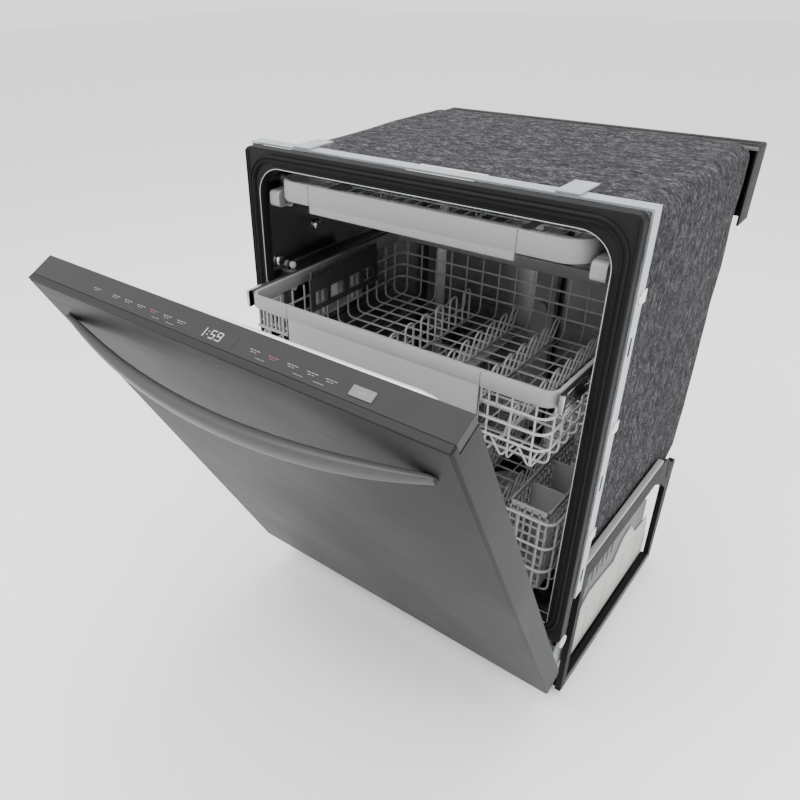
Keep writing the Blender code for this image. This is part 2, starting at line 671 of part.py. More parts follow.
def door_fittings():
    """Latch hook inside the top of the door, the vent and the two hinge arms."""
    hook = [(-0.012, 0.636), (0.006, 0.636), (0.006, 0.672), (0.018, 0.674), (0.018, 0.684),
            (-0.004, 0.684), (-0.012, 0.660)]
    plate("door_latch", DOOR, [hook], "X", -0.0175, -0.0095, ZINC)
    vent = rod("door_vent", DOOR, (0.165, INNER_FACE_Y + 0.0014, 0.560), 0.034, 0.0014, "Y",
               DARK_GREY, 28)
    bevel(vent, 0.0004)
    arm = [(-0.014, -0.010), (0.008, -0.011), (0.013, 0.000), (0.008, 0.012), (-0.0195, 0.027),
           (-0.0200, 0.230), (-0.0350, 0.230), (-0.0350, 0.022)]
    for name, side in BOTH_SIDES:
        x = side * ARM_X
        piece = plate("hinge_arm_" + name, DOOR, [arm], "X", x - ARM_THICKNESS / 2,
                      x + ARM_THICKNESS / 2, ZINC)
        cut(piece, rod("arm_hole_tool_" + name, DOOR, (x, 0.0, 0.0), 0.0043, 0.01, "X", sides=16))


# ---------------------------------------------------------------- racks
def wire_basket(name, group, half_width, floor, rim, columns, rows, loops, carriers=()):
    """A wire basket: bent wires both ways over its floor, tied by loops round its sides."""
    radius = WIRE_RADIUS
    front, back, bend = 0.0105, RACK_DEPTH - 0.010, 0.012
    across = [[(-half_width, y, rim), (-half_width, y, floor + bend), (-half_width + bend, y, floor),
               (half_width - bend, y, floor), (half_width, y, floor + bend), (half_width, y, rim)]
              for y in rows]
    drop = 0.6 * radius
    along = [[(x, front, rim), (x, front, floor + bend), (x, front + bend, floor - drop),
              (x, back - bend, floor - drop), (x, back, floor + bend), (x, back, rim)] for x in columns]
    side = half_width + drop
    ties = [[(x, y, z) for x, y in rounded_rectangle((-side, front - drop), (side, back + drop), 0.018, 3)]
            for z in loops]
    basket = tubes(name, group, across, radius, COATED_WIRE)
    for i, (low_corner, high_corner) in enumerate(carriers):
        join(basket, box(f"{name}_carrier_tool_{i}", group, low_corner, high_corner))
    join(basket, tubes(name + "_along_tool", group, along, radius * 0.94),
         tubes(name + "_ties_tool", group, ties, radius * 1.04, cyclic=True))
    return basket


def plastic_rim(name, group, half_width, low, high, apron_low, wall):
    """A rack's plastic rim with a deeper panel in the middle of its front."""
    outer = rounded_rectangle((-half_width, 0.0), (half_width, RACK_DEPTH), 0.035, 4)
    inner = rounded_rectangle((-half_width + wall, wall), (half_width - wall, RACK_DEPTH - wall),
                              0.035 - wall, 4)
    rim = plate(name, group, [outer, inner], "Z", low, high, GREY_PLASTIC)
    join(rim, box(name + "_apron_tool", group, (APRON_LEFT, 0.0008, apron_low),
                  (APRON_RIGHT, wall - 0.0008, low + 0.005)))
    return rim


def comb(name, group, x, ys, base_z, height, radius, material):
    """A row of upright tines on a bar."""
    bar = tubes(name, group, [[(x, ys[0] - 0.008, base_z), (x, ys[-1] + 0.008, base_z)]], radius,
                material)
    prongs = [[(x, y, base_z), (x, y, base_z + height)] for y in ys]
    join(bar, tubes(name + "_prong_tool", group, prongs, radius * 0.85))
    return bar


def upper_rack():
    """Sliding rails, wire basket, rim, cup shelf, tines and the arm under the rack."""
    for name, side in BOTH_SIDES:
        x0, x1 = sided(side, UPPER_RAIL_INNER, RAIL_OUTER)
        box("upper_rail_" + name, UPPER_RAILS, (x0, 0.003, 0.573), (x1, 0.400, 0.599), STAINLESS, 0.001)
    wire_basket("upper_rack_basket", UPPER_RACK, 0.244, UPPER_FLOOR, UPPER_RIM_BOTTOM - 0.0006,
                spread(-0.18, 0.18, 4), spread(0.05, 0.35, 4), (0.530,))
    plastic_rim("upper_rack_rim", UPPER_RACK, UPPER_HALF_WIDTH, UPPER_RIM_BOTTOM, UPPER_RIM_TOP,
                UPPER_APRON_BOTTOM, 0.0070)
    comb("upper_tines", UPPER_RACK, UPPER_TINES_X, spread(0.06, 0.34, 8), UPPER_FLOOR + 0.0052, 0.058,
         0.0020, COATED_WIRE)
    shelf_tools = []
    shelf = box("cup_shelf", UPPER_RACK, (SHELF_X - 0.002, 0.105, SHELF_LOW),
                (SHELF_X + 0.002, 0.285, SHELF_HIGH), DARK_GREY, 0.001)
    for i, y in enumerate((0.125, 0.205)):
        shelf_tools.append(box(f"shelf_window_tool_{i}", UPPER_RACK, (SHELF_X - 0.01, y, SHELF_LOW + 0.012),
                               (SHELF_X + 0.01, y + 0.060, SHELF_LOW + 0.040)))
    cut(shelf, *shelf_tools)
    spray_arm("upper_spray_arm", UPPER_RACK, RACK_DEPTH / 2, UPPER_ARM_HALF_LENGTH, 0.452, 0.4645)


def third_rack():
    """Sliding rails and the shallow cutlery tray."""
    for name, side in BOTH_SIDES:
        x0, x1 = sided(side, THIRD_RAIL_INNER, RAIL_OUTER)
        box("third_rail_" + name, THIRD_RAILS, (x0, 0.010, 0.714), (x1, 0.400, 0.7385), GREY_PLASTIC, 0.001)
    tray = plastic_rim("third_rack_tray", THIRD_RACK, THIRD_HALF_WIDTH, THIRD_BOTTOM, THIRD_TOP,
                       THIRD_APRON_BOTTOM, 0.0070)
    inset = 0.004
    along = [[(x, inset, 0.7440), (x, RACK_DEPTH - inset, 0.7440)] for x in spread(-0.19, 0.19, 5)]
    across = [[(-THIRD_HALF_WIDTH + inset, y, 0.7455), (THIRD_HALF_WIDTH - inset, y, 0.7455)]
              for y in spread(0.07, 0.33, 4)]
    join(tray, tubes("tray_along_tool", THIRD_RACK, along, 0.0020),
         tubes("tray_across_tool", THIRD_RACK, across, 0.0018))


def lower_rack():
    """Wire basket on wheels, its fold-down tines and the cutlery basket."""
    carriers = []
    for name, side in BOTH_SIDES:
        x0, x1 = sided(side, 0.2480, 0.2570)
        for end, y in zip(("front", "back"), WHEEL_YS):
            carriers.append(((x0, y - 0.036, 0.1962), (x1, y + 0.036, 0.2320)))
            profile = [(0.0, 0.0045), (0.005, 0.0045), (0.006, 0.003), (0.0135, 0.003),
                       (0.0145, 0.0045), (WHEEL_RADIUS, 0.0045), (WHEEL_RADIUS, -0.0045), (0.0, -0.0045)]
            turned(f"rack_wheel_{end}_{name}", LOWER_RACK, (side * 0.2628, y, WHEEL_Z),
                   profile, GREY_PLASTIC, "X", 16)
    wire_basket("lower_rack_basket", LOWER_RACK, LOWER_HALF_WIDTH, LOWER_FLOOR, LOWER_RIM,
                spread(-0.19, 0.15, 4), spread(0.05, 0.35, 4), (0.283, 0.3490), carriers)
    comb("lower_tines", LOWER_RACK, LOWER_TINES_X, spread(0.06, 0.34, 8), LOWER_FLOOR + 0.0052, 0.080,
         0.0020, COATED_WIRE)
    holder = box("cutlery_basket", LOWER_RACK, (BASKET_LEFT, BASKET_FRONT, BASKET_LOW),
                 (BASKET_RIGHT, BASKET_BACK, BASKET_HIGH), GREY_PLASTIC, open_faces=[(0, 0, 1)])
    thicken(holder, 0.0022)
    for i, y in enumerate(spread(BASKET_FRONT, BASKET_BACK, 4)[1:-1]):
        join(holder, box(f"basket_divider_tool_{i}", LOWER_RACK,
                         (BASKET_LEFT + 0.001, y - 0.001, BASKET_LOW + 0.001),
                         (BASKET_RIGHT - 0.001, y + 0.001, BASKET_HIGH - 0.012)))


tub_liner()
front_frame()
tub_flange()
sound_blanket()
rear_bumper()
base_frames()
base_inner()
leveling_legs()
hinge_brackets()
door_springs()
wash_system()
worktop_brackets()
wall_guides()
door_outer_panel()
door_inner_panel()
control_strip()
door_handle()
dispenser()
door_fittings()
upper_rack()
third_rack()
lower_rack()
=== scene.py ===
"""The looks of a built-in dishwasher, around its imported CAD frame.

Metres, in the frame's own axes: +X right, +Y to the back, +Z up. Cabinet pieces are
drawn in the cabinet's coordinates (y = 0 at the sealing plane, z = 0 under the base
rails) and door pieces in the door's (x across, y into the tub, z up the door from its
hinge), and put() moves them into place.
"""
import json
import math

import bmesh
import bpy
from mathutils import Matrix, Vector, noise


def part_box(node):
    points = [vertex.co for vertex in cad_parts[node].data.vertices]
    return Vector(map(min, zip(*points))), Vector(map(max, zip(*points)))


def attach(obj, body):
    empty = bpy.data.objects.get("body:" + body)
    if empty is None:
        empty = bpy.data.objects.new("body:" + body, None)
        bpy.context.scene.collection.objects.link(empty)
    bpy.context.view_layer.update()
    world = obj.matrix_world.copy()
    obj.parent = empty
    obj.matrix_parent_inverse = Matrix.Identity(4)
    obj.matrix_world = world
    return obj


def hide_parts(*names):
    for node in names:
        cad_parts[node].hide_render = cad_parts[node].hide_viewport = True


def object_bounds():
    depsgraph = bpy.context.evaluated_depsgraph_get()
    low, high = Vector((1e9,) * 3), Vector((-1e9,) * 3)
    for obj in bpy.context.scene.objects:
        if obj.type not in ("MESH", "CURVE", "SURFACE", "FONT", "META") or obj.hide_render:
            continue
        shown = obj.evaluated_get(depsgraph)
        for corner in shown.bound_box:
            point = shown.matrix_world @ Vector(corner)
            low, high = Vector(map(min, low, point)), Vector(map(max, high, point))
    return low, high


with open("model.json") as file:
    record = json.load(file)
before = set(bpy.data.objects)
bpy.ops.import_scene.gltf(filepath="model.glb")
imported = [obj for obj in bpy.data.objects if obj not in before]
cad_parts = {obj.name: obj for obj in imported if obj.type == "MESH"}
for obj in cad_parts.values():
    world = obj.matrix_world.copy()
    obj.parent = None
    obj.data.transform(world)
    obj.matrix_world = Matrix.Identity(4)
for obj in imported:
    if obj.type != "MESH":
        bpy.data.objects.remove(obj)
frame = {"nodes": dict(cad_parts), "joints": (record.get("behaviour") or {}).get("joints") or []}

CAD_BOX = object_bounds()

# ---------------------------------------------------------------- places read from the frame
JOINTS = {joint["name"]: joint for joint in frame["joints"]}
HINGE = Vector(JOINTS["door_hinge"]["pos_m"])
DOOR_TILT = math.radians(-JOINTS["door_hinge"]["range_deg"][0])

gasket_low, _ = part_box("door_gasket")
rail_low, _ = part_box("base_frame_right")
SEAL_Y = gasket_low.y - 0.0003
BASE_Z = rail_low.z

CABINET = Matrix.Translation((0.0, SEAL_Y, BASE_Z))
DOOR = Matrix.Translation(HINGE) @ Matrix.Rotation(DOOR_TILT, 4, "X")


# ---------------------------------------------------------------- materials
def material(name, color, roughness, metallic=0.0, specular=0.5):
    """A Principled material and its parts: (material, nodes, links, shader)."""
    made = bpy.data.materials.new(name)
    made.use_nodes = True
    nodes, links = made.node_tree.nodes, made.node_tree.links
    shader = nodes["Principled BSDF"]
    shader.inputs["Base Color"].default_value = (*color, 1.0)
    shader.inputs["Roughness"].default_value = roughness
    shader.inputs["Metallic"].default_value = metallic
    shader.inputs["Specular IOR Level"].default_value = specular
    return made, nodes, links, shader


def texture(nodes, links, scale, stretch=(1.0, 1.0, 1.0), **settings):
    """A noise texture in object coordinates, stretched along the axes."""
    coordinates = nodes.new("ShaderNodeTexCoord")
    mapping = nodes.new("ShaderNodeMapping")
    mapping.inputs["Scale"].default_value = stretch
    links.new(coordinates.outputs["Object"], mapping.inputs["Vector"])
    made = nodes.new("ShaderNodeTexNoise")
    made.inputs["Scale"].default_value = scale
    for key, value in settings.items():
        made.inputs[key].default_value = value
    links.new(mapping.outputs["Vector"], made.inputs["Vector"])
    return made


def ramp(nodes, links, source, stops):
    """A colour ramp driven by a texture. stops are (position, colour)."""
    made = nodes.new("ShaderNodeValToRGB")
    elements = made.color_ramp.elements
    elements[0].position, elements[0].color = stops[0][0], (*stops[0][1], 1.0)
    elements[1].position, elements[1].color = stops[-1][0], (*stops[-1][1], 1.0)
    for position, color in stops[1:-1]:
        elements.new(position).color = (*color, 1.0)
    links.new(source, made.inputs["Fac"])
    return made


def remap(nodes, links, source, low, high):
    """A texture's value spread between two numbers."""
    made = nodes.new("ShaderNodeMapRange")
    made.inputs["From Min"].default_value = 0.25
    made.inputs["From Max"].default_value = 0.75
    made.inputs["To Min"].default_value = low
    made.inputs["To Max"].default_value = high
    links.new(source, made.inputs["Value"])
    return made.outputs["Result"]


def bump(nodes, links, shader, source, strength, distance):
    """Surface relief from a texture."""
    made = nodes.new("ShaderNodeBump")
    made.inputs["Strength"].default_value = strength
    made.inputs["Distance"].default_value = distance
    links.new(source, made.inputs["Height"])
    links.new(made.outputs["Normal"], shader.inputs["Normal"])


def shades(color, spread):
    """A darker and a lighter version of a colour."""
    return tuple(c * (1 - spread) for c in color), tuple(min(1.0, c * (1 + spread)) for c in color)


def brushed(name, color, roughness, metallic, stretch, contrast=0.06, relief=0.04, specular=0.5):
    """Brushed sheet metal: fine scratches along one axis, faint smudges over them."""
    made, nodes, links, shader = material(name, color, roughness, metallic, specular)
    grain = texture(nodes, links, 9.0, stretch, Detail=6.0, Roughness=0.6)
    smudge = texture(nodes, links, 5.0, Detail=3.0)
    dark, light = shades(color, contrast)
    colors = ramp(nodes, links, grain.outputs["Fac"], [(0.3, dark), (0.7, light)])
    links.new(colors.outputs["Color"], shader.inputs["Base Color"])
    blend = nodes.new("ShaderNodeMath")
    blend.operation = "MULTIPLY_ADD"
    links.new(remap(nodes, links, grain.outputs["Fac"], -0.05, 0.05), blend.inputs[0])
    blend.inputs[1].default_value = 1.0
    links.new(remap(nodes, links, smudge.outputs["Fac"], roughness - 0.03, roughness + 0.05), blend.inputs[2])
    links.new(blend.outputs["Value"], shader.inputs["Roughness"])
    bump(nodes, links, shader, grain.outputs["Fac"], relief, 0.0004)
    return made


def moulded(name, color, roughness, grain=900.0, relief=0.12, contrast=0.04, specular=0.45):
    """Moulded plastic: a fine spark-eroded grain, faint flow marks and duller patches."""
    made, nodes, links, shader = material(name, color, roughness, 0.0, specular)
    fine = texture(nodes, links, grain, Detail=2.0)
    flow = texture(nodes, links, 14.0, (1.0, 1.0, 2.2), Detail=4.0)
    dark, light = shades(color, contrast)
    colors = ramp(nodes, links, flow.outputs["Fac"], [(0.3, dark), (0.7, light)])
    links.new(colors.outputs["Color"], shader.inputs["Base Color"])
    links.new(remap(nodes, links, flow.outputs["Fac"], roughness - 0.04, roughness + 0.06),
              shader.inputs["Roughness"])
    bump(nodes, links, shader, fine.outputs["Fac"], relief, 0.0003)
    return made


def felt_material():
    """Needled felt: pale and dark fibres mixed in clumps, with a dry sheen."""
    made, nodes, links, shader = material("felt", (0.05, 0.048, 0.052), 0.98, 0.0, 0.02)
    clumps = texture(nodes, links, 95.0, (0.60, 1.0, 0.55), Detail=8.0, Roughness=0.78,
                     Distortion=0.5)
    fibres = texture(nodes, links, 640.0, (0.34, 1.0, 0.34), Detail=5.0, Roughness=0.7,
                     Distortion=0.3)
    mix = nodes.new("ShaderNodeMath")
    mix.operation = "MULTIPLY_ADD"
    links.new(fibres.outputs["Fac"], mix.inputs[0])
    mix.inputs[1].default_value = 0.55
    scaled = nodes.new("ShaderNodeMath")
    scaled.operation = "MULTIPLY"
    links.new(clumps.outputs["Fac"], scaled.inputs[0])
    scaled.inputs[1].default_value = 0.45
    links.new(scaled.outputs["Value"], mix.inputs[2])
    colors = ramp(nodes, links, mix.outputs["Value"],
                  [(0.38, (0.004, 0.0038, 0.0045)), (0.47, (0.020, 0.0192, 0.0215)),
                   (0.53, (0.050, 0.048, 0.053)), (0.61, (0.165, 0.160, 0.170))])
    links.new(colors.outputs["Color"], shader.inputs["Base Color"])
    shader.inputs["Sheen Weight"].default_value = 0.03
    shader.inputs["Sheen Roughness"].default_value = 0.5
    bump(nodes, links, shader, mix.outputs["Value"], 0.9, 0.004)
    return made


def dark_door_material(name, color, roughness):
    """Dark coated stainless with a faint horizontal brush."""
    return brushed(name, color, roughness, 0.12, (0.6, 40.0, 60.0), 0.06, 0.03, 0.07)


M = {
    "door": dark_door_material("dark_steel_sheet", (0.0125, 0.0120, 0.0128), 0.40),
    # The handle is the door's own dark steel; its lighter colour is painted light, standing in for the light
    # that the bowed bar catches.
    "handle": dark_door_material("dark_steel_handle_painted_light", (0.070, 0.068, 0.071), 0.34),
    "lip": dark_door_material("dark_steel_lip", (0.026, 0.025, 0.0265), 0.38),
    "strip": moulded("strip_plastic", (0.028, 0.028, 0.029), 0.40, 1500.0, 0.05, 0.03, 0.12),
    "stainless": brushed("stainless_sheet", (0.45, 0.45, 0.46), 0.20, 1.0, (1.0, 60.0, 1.5), 0.04, 0.03),
    "tub": brushed("tub_sheet", (0.36, 0.36, 0.37), 0.17, 1.0, (50.0, 1.2, 1.2), 0.05, 0.03),
    # The inner door is stainless; its near-white colour is a painted reflection of the bright studio above it.
    "inner_door": brushed("inner_door_steel_painted_reflection", (0.86, 0.86, 0.86), 0.30, 0.45, (40.0, 1.0, 1.0), 0.02, 0.02),
    "zinc": brushed("zinc_sheet", (0.40, 0.44, 0.46), 0.36, 0.75, (4.0, 4.0, 5.0), 0.10, 0.05),
    "black": moulded("black_plastic", (0.0075, 0.0072, 0.0078), 0.52, 700.0, 0.12, 0.10, 0.07),
    "frame": moulded("frame_plastic", (0.0125, 0.012, 0.0128), 0.50, 900.0, 0.10, 0.06, 0.08),
    "rubber": moulded("gasket_rubber", (0.008, 0.0077, 0.0083), 0.62, 500.0, 0.10, 0.10, 0.12),
    "grey": moulded("grey_plastic", (0.245, 0.242, 0.25), 0.40, 1100.0, 0.06, 0.02),
    "mid_grey": moulded("mid_grey_plastic", (0.12, 0.12, 0.125), 0.45, 1100.0, 0.08, 0.03),
    "dark_grey": moulded("dark_grey_plastic", (0.035, 0.035, 0.038), 0.45, 900.0, 0.10, 0.05),
    "pale": moulded("pale_plastic", (0.36, 0.36, 0.335), 0.55, 500.0, 0.15, 0.06),
    "slate": moulded("slate_plastic", (0.075, 0.078, 0.078), 0.50, 600.0, 0.12, 0.06),
    "white": moulded("white_plastic", (0.60, 0.60, 0.59), 0.42, 800.0, 0.08, 0.02),
    "wire": moulded("coated_wire", (0.33, 0.33, 0.34), 0.30, 700.0, 0.04, 0.03, 0.5),
    "pump": moulded("pump_paint", (0.14, 0.14, 0.145), 0.50, 400.0, 0.2, 0.08),
    "mark": moulded("print_grey", (0.17, 0.17, 0.175), 0.5, 900.0, 0.02, 0.02),
    "mark_red": moulded("print_red", (0.17, 0.045, 0.05), 0.5, 900.0, 0.02, 0.02),
    "label": moulded("blank_label", (0.62, 0.62, 0.61), 0.55, 300.0, 0.10, 0.04),
    "digit": moulded("display_digit", (0.42, 0.43, 0.45), 0.5, 900.0, 0.02, 0.02),
    "felt": felt_material(),
}


# ---------------------------------------------------------------- mesh helpers
def spread(low, high, count):
    """Evenly spaced values from low to high."""
    return [low + (high - low) * i / (count - 1) for i in range(count)]


def arc(centre, radius, start, end, steps):
    """Points along an arc, angles in degrees."""
    angles = [math.radians(start + (end - start) * i / steps) for i in range(steps + 1)]
    return [(centre[0] + radius * math.cos(a), centre[1] + radius * math.sin(a)) for a in angles]


def rounded_rectangle(low, high, radius, steps=6, foot_radius=None):
    """A rectangle's outline with round corners, anticlockwise from the lower right."""
    (x0, y0), (x1, y1) = low, high
    foot = radius if foot_radius is None else foot_radius
    return (arc((x1 - foot, y0 + foot), foot, -90, 0, steps)
            + arc((x1 - radius, y1 - radius), radius, 0, 90, steps)
            + arc((x0 + radius, y1 - radius), radius, 90, 180, steps)
            + arc((x0 + foot, y0 + foot), foot, 180, 270, steps))


def linked(name, data):
    """A new object in the scene with this data."""
    made = bpy.data.objects.new(name, data)
    bpy.context.scene.collection.objects.link(made)
    return made


def object_from(name, bm, recalculate=True):
    """An object from a bmesh, which is freed."""
    if recalculate:
        bmesh.ops.recalc_face_normals(bm, faces=bm.faces)
    mesh = bpy.data.meshes.new(name)
    bm.to_mesh(mesh)
    bm.free()
    return linked(name, mesh)


def apply_modifiers(piece):
    """Turn a piece, or a curve, into the plain mesh that its modifiers make."""
    bpy.context.view_layer.update()
    depsgraph = bpy.context.evaluated_depsgraph_get()
    mesh = bpy.data.meshes.new_from_object(piece.evaluated_get(depsgraph))
    name, matrix = piece.name, piece.matrix_world.copy()
    bpy.data.objects.remove(piece, do_unlink=True)
    mesh.transform(matrix)
    return linked(name, mesh)


def bevelled(piece, width, segments=3, angle=35.0):
    """Round a piece's sharp edges."""
    modifier = piece.modifiers.new("rounding", "BEVEL")
    modifier.width = width
    modifier.segments = segments
    modifier.limit_method = "ANGLE"
    modifier.angle_limit = math.radians(angle)
    modifier.harden_normals = False
    return apply_modifiers(piece)


def thickened(piece, thickness, offset=-1.0):
    """Give a sheet its thickness."""
    modifier = piece.modifiers.new("sheet", "SOLIDIFY")
    modifier.thickness = thickness
    modifier.offset = offset
    return apply_modifiers(piece)


def put(piece, place, body, look, *replaced):
    """Move a piece into the row frame, give it its look and let it ride on a body."""
    piece.data.transform(place)
    if piece.type == "MESH":
        piece.data.shade_smooth()
        piece.data.set_sharp_from_angle(angle=math.radians(38.0))
    piece.data.materials.clear()
    piece.data.materials.append(M[look])
    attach(piece, body)
    if replaced:
        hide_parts(*replaced)
    return piece


def fixed(piece, look, *replaced):
    """Put a piece on the cabinet, which stands still."""
    return put(piece, CABINET, "cabinet", look, *replaced)


def add_box(bm, low, high):
    """A box between two corners, in a bmesh."""
    size = [b - a for a, b in zip(low, high)]
    centre = [(a + b) / 2 for a, b in zip(low, high)]
    matrix = Matrix.Translation(centre) @ Matrix.Diagonal((*size, 1.0))
    return bmesh.ops.create_cube(bm, size=1.0, matrix=matrix)["verts"]


def hood(low, high, radius, segments):
    """A bmesh of a box open at its front and bottom, with its folds rounded."""
    bm = bmesh.new()
    add_box(bm, low, high)
    open_faces = [face for face in bm.faces if face.normal.y < -0.5 or face.normal.z < -0.5]
    bmesh.ops.delete(bm, geom=open_faces, context="FACES")
    folds = [edge for edge in bm.edges if len(edge.link_faces) == 2]
    bmesh.ops.bevel(bm, geom=folds, offset=radius, segments=segments, affect="EDGES", profile=0.5)
    return bm


AXIS_TURN = {"X": Matrix.Rotation(math.pi / 2, 4, "Y"), "Y": Matrix.Rotation(-math.pi / 2, 4, "X"),
             "Z": Matrix.Identity(4)}


def block(name, low, high, radius=0.0015, segments=3):
    """A box with rounded edges."""
    bm = bmesh.new()
    add_box(bm, low, high)
    return bevelled(object_from(name, bm), radius, segments)


def blocks(name, corners, radius=0.0008, segments=2):
    """Several boxes as one piece."""
    bm = bmesh.new()
    for low, high in corners:
        add_box(bm, low, high)
    return bevelled(object_from(name, bm), radius, segments)


def lathe(name, centre, profile, axis="Z", steps=40):
    """A turned piece from (radius, height) points."""
    bm = bmesh.new()
    points = [bm.verts.new((r, 0.0, h)) for r, h in profile]
    edges = [bm.edges.new(pair) for pair in zip(points, points[1:])]
    bmesh.ops.spin(bm, geom=points + edges, cent=(0, 0, 0), axis=(0, 0, 1), angle=math.tau, steps=steps)
    bmesh.ops.remove_doubles(bm, verts=bm.verts, dist=0.00001)
    made = object_from(name, bm)
    made.data.transform(Matrix.Translation(centre) @ AXIS_TURN[axis])
    return made


def loft(name, rings, closed=False):
    """A surface through rings: capped at both ends, or with the last ring joined to the first."""
    bm = bmesh.new()
    rows = [[bm.verts.new(point) for point in ring] for ring in rings]
    for first, second in zip(rows, rows[1:] + (rows[:1] if closed else [])):
        for i, vertex in enumerate(first):
            j = (i + 1) % len(first)
            bm.faces.new((vertex, first[j], second[j], second[i]))
    if not closed:
        bm.faces.new(rows[0])
        bm.faces.new(rows[-1])
    return object_from(name, bm)


def add_spline(curve, points, closed):
    """A polyline in a curve."""
    spline = curve.splines.new("POLY")
    spline.points.add(len(points) - 1)
    for point, place in zip(spline.points, points):
        point.co = (*place, 1.0)
    spline.use_cyclic_u = closed
    return spline


def plate(name, outlines, axis, low, high, radius=0.0):
    """A flat piece from outlines: (y, z) across X, (x, z) across Y and (x, y) across Z."""
    curve = bpy.data.curves.new(name, "CURVE")
    curve.dimensions = "2D"
    curve.fill_mode = "BOTH"
    curve.extrude = (high - low) / 2
    for outline in outlines:
        add_spline(curve, [(u, v, 0.0) for u, v in outline], True)
    guide = linked(name, curve)
    middle = (low + high) / 2
    turn = {"X": Matrix.Rotation(math.pi / 2, 4, "Z") @ Matrix.Rotation(math.pi / 2, 4, "X"),
            "Y": Matrix.Rotation(math.pi / 2, 4, "X"), "Z": Matrix.Identity(4)}[axis]
    shift = {"X": (middle, 0, 0), "Y": (0, middle, 0), "Z": (0, 0, middle)}[axis]
    guide.matrix_world = Matrix.Translation(shift) @ turn
    made = apply_modifiers(guide)
    bm = bmesh.new()
    bm.from_mesh(made.data)
    bmesh.ops.remove_doubles(bm, verts=bm.verts, dist=0.00001)
    bmesh.ops.dissolve_limit(bm, angle_limit=0.01, verts=bm.verts, edges=bm.edges)
    bm.to_mesh(made.data)
    bm.free()
    return bevelled(made, radius, 2) if radius else made


def filleted(points, radius, steps=4):
    """A path with its corners rounded off."""
    rounded = [Vector(points[0])]
    for before, corner, after in zip(points, points[1:], points[2:]):
        before, corner, after = Vector(before), Vector(corner), Vector(after)
        reach = min(radius, (before - corner).length * 0.48, (after - corner).length * 0.48)
        start = corner + (before - corner).normalized() * reach
        end = corner + (after - corner).normalized() * reach
        for i in range(steps + 1):
            t = i / steps
            rounded.append(start.lerp(corner, t).lerp(corner.lerp(end, t), t))
    rounded.append(Vector(points[-1]))
    return rounded


def wires(name, paths, radius, closed=False, bend=0.008, sides=2):
    """Round wires along paths, as one curve piece."""
    curve = bpy.data.curves.new(name, "CURVE")
    curve.dimensions = "3D"
    curve.bevel_depth = radius
    curve.bevel_resolution = sides
    curve.use_fill_caps = True
    for path in paths:
        points = [Vector(p) for p in path] if closed else filleted(path, bend)
        add_spline(curve, points, closed).use_smooth = True
    return apply_modifiers(linked(name, curve))


def joined(name, pieces):
    """Several pieces' meshes as one object."""
    bm = bmesh.new()
    for piece in pieces:
        bm.from_mesh(piece.data)
        bpy.data.objects.remove(piece, do_unlink=True)
    return object_from(name, bm, recalculate=False)


BOTH_SIDES = (("left", -1), ("right", 1))


def sided(side, near, far):
    """Two distances from the middle as low and high X on one side."""
    return sorted((side * near, side * far))


# ---------------------------------------------------------------- camera, floor and light
def add_camera():
    """The camera that stands where the photographer stood."""
    yaw, pitch, roll = 0.700186, -0.557175, -0.0241654
    forward = Vector((-math.sin(yaw) * math.cos(pitch), math.cos(yaw) * math.cos(pitch), math.sin(pitch)))
    level = Vector((math.cos(yaw), math.sin(yaw), 0.0))
    upright = level.cross(forward)
    across = math.cos(roll) * level + math.sin(roll) * upright
    up = -math.sin(roll) * level + math.cos(roll) * upright
    data = bpy.data.cameras.new("camera")
    data.lens = 32.67
    data.sensor_width = 36.0
    data.shift_x, data.shift_y = 0.0705, 0.01105
    data.clip_start = 0.05
    made = linked("camera", data)
    made.matrix_world = Matrix.Translation((0.5266, -0.8573, 1.0437)) @ \
        Matrix((across, up, -forward)).transposed().to_4x4()
    bpy.context.scene.camera = made


def add_light(name, place, target, size, power, color=(1.0, 1.0, 1.0)):
    """A soft rectangular studio light that faces a point."""
    data = bpy.data.lights.new(name, "AREA")
    data.shape = "RECTANGLE"
    data.size, data.size_y = size
    data.energy = power
    data.color = color
    made = linked(name, data)
    made.location = place
    made.rotation_euler = (Vector(target) - Vector(place)).to_track_quat("-Z", "Y").to_euler()


def add_studio():
    """A plain pale floor, an even sky and three soft lights."""
    bm = bmesh.new()
    bmesh.ops.create_grid(bm, x_segments=1, y_segments=1, size=14.0)
    floor = object_from("floor", bm)
    floor.location.z = CAD_BOX[0][2] - 0.0002
    made, _, _, _ = material("floor", (0.93, 0.93, 0.93), 0.75, 0.0, 0.2)
    floor.data.materials.append(made)
    world = bpy.data.worlds.new("studio")
    world.use_nodes = True
    world.node_tree.nodes["Background"].inputs["Color"].default_value = (1.0, 1.0, 1.0, 1.0)
    world.node_tree.nodes["Background"].inputs["Strength"].default_value = 1.6
    bpy.context.scene.world = world
    add_light("key", (-0.6, -1.6, 2.6), (0.0, 0.0, 0.45), (1.6, 1.2), 60.0)
    add_light("side", (2.4, 0.1, 1.5), (0.0, 0.1, 0.4), (1.2, 1.8), 42.0)
    add_light("top", (0.0, 0.5, 2.8), (0.0, 0.2, 0.5), (2.0, 1.4), 45.0)


add_camera()
add_studio()

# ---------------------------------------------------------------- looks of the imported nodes
LOOK_NODES = {
    "tub": "tub_liner", "frame": "front_frame", "rubber": "door_gasket", "felt": "sound_blanket",
    "pale": "drip_pan", "white": "inlet_valve", "pump": "wash_pump drain_pump",
    "zinc": "tub_flange front_crossmember door_latch hinge_bracket_* worktop_bracket_* hinge_arm_*",
    "black": "rear_bumper base_frame_*", "dark_grey": "sump rinse_cap door_vent",
    "mid_grey": "start_key dispenser_lid", "stainless": "upper_guide_* third_guide_* upper_rail_*",
    "door": "door_outer_panel", "inner_door": "door_inner_panel", "strip": "control_strip",
    "handle": "door_handle",
}
NODE_LOOKS = {node.replace("*", name): look for look, nodes in LOOK_NODES.items()
              for node in nodes.split() for name, _ in BOTH_SIDES}
for node, piece in frame["nodes"].items():
    look = NODE_LOOKS.get(node, "grey")
    piece.data.materials.clear()
    piece.data.materials.append(M[look])
    piece.data.set_sharp_from_angle(angle=math.radians(35.0))


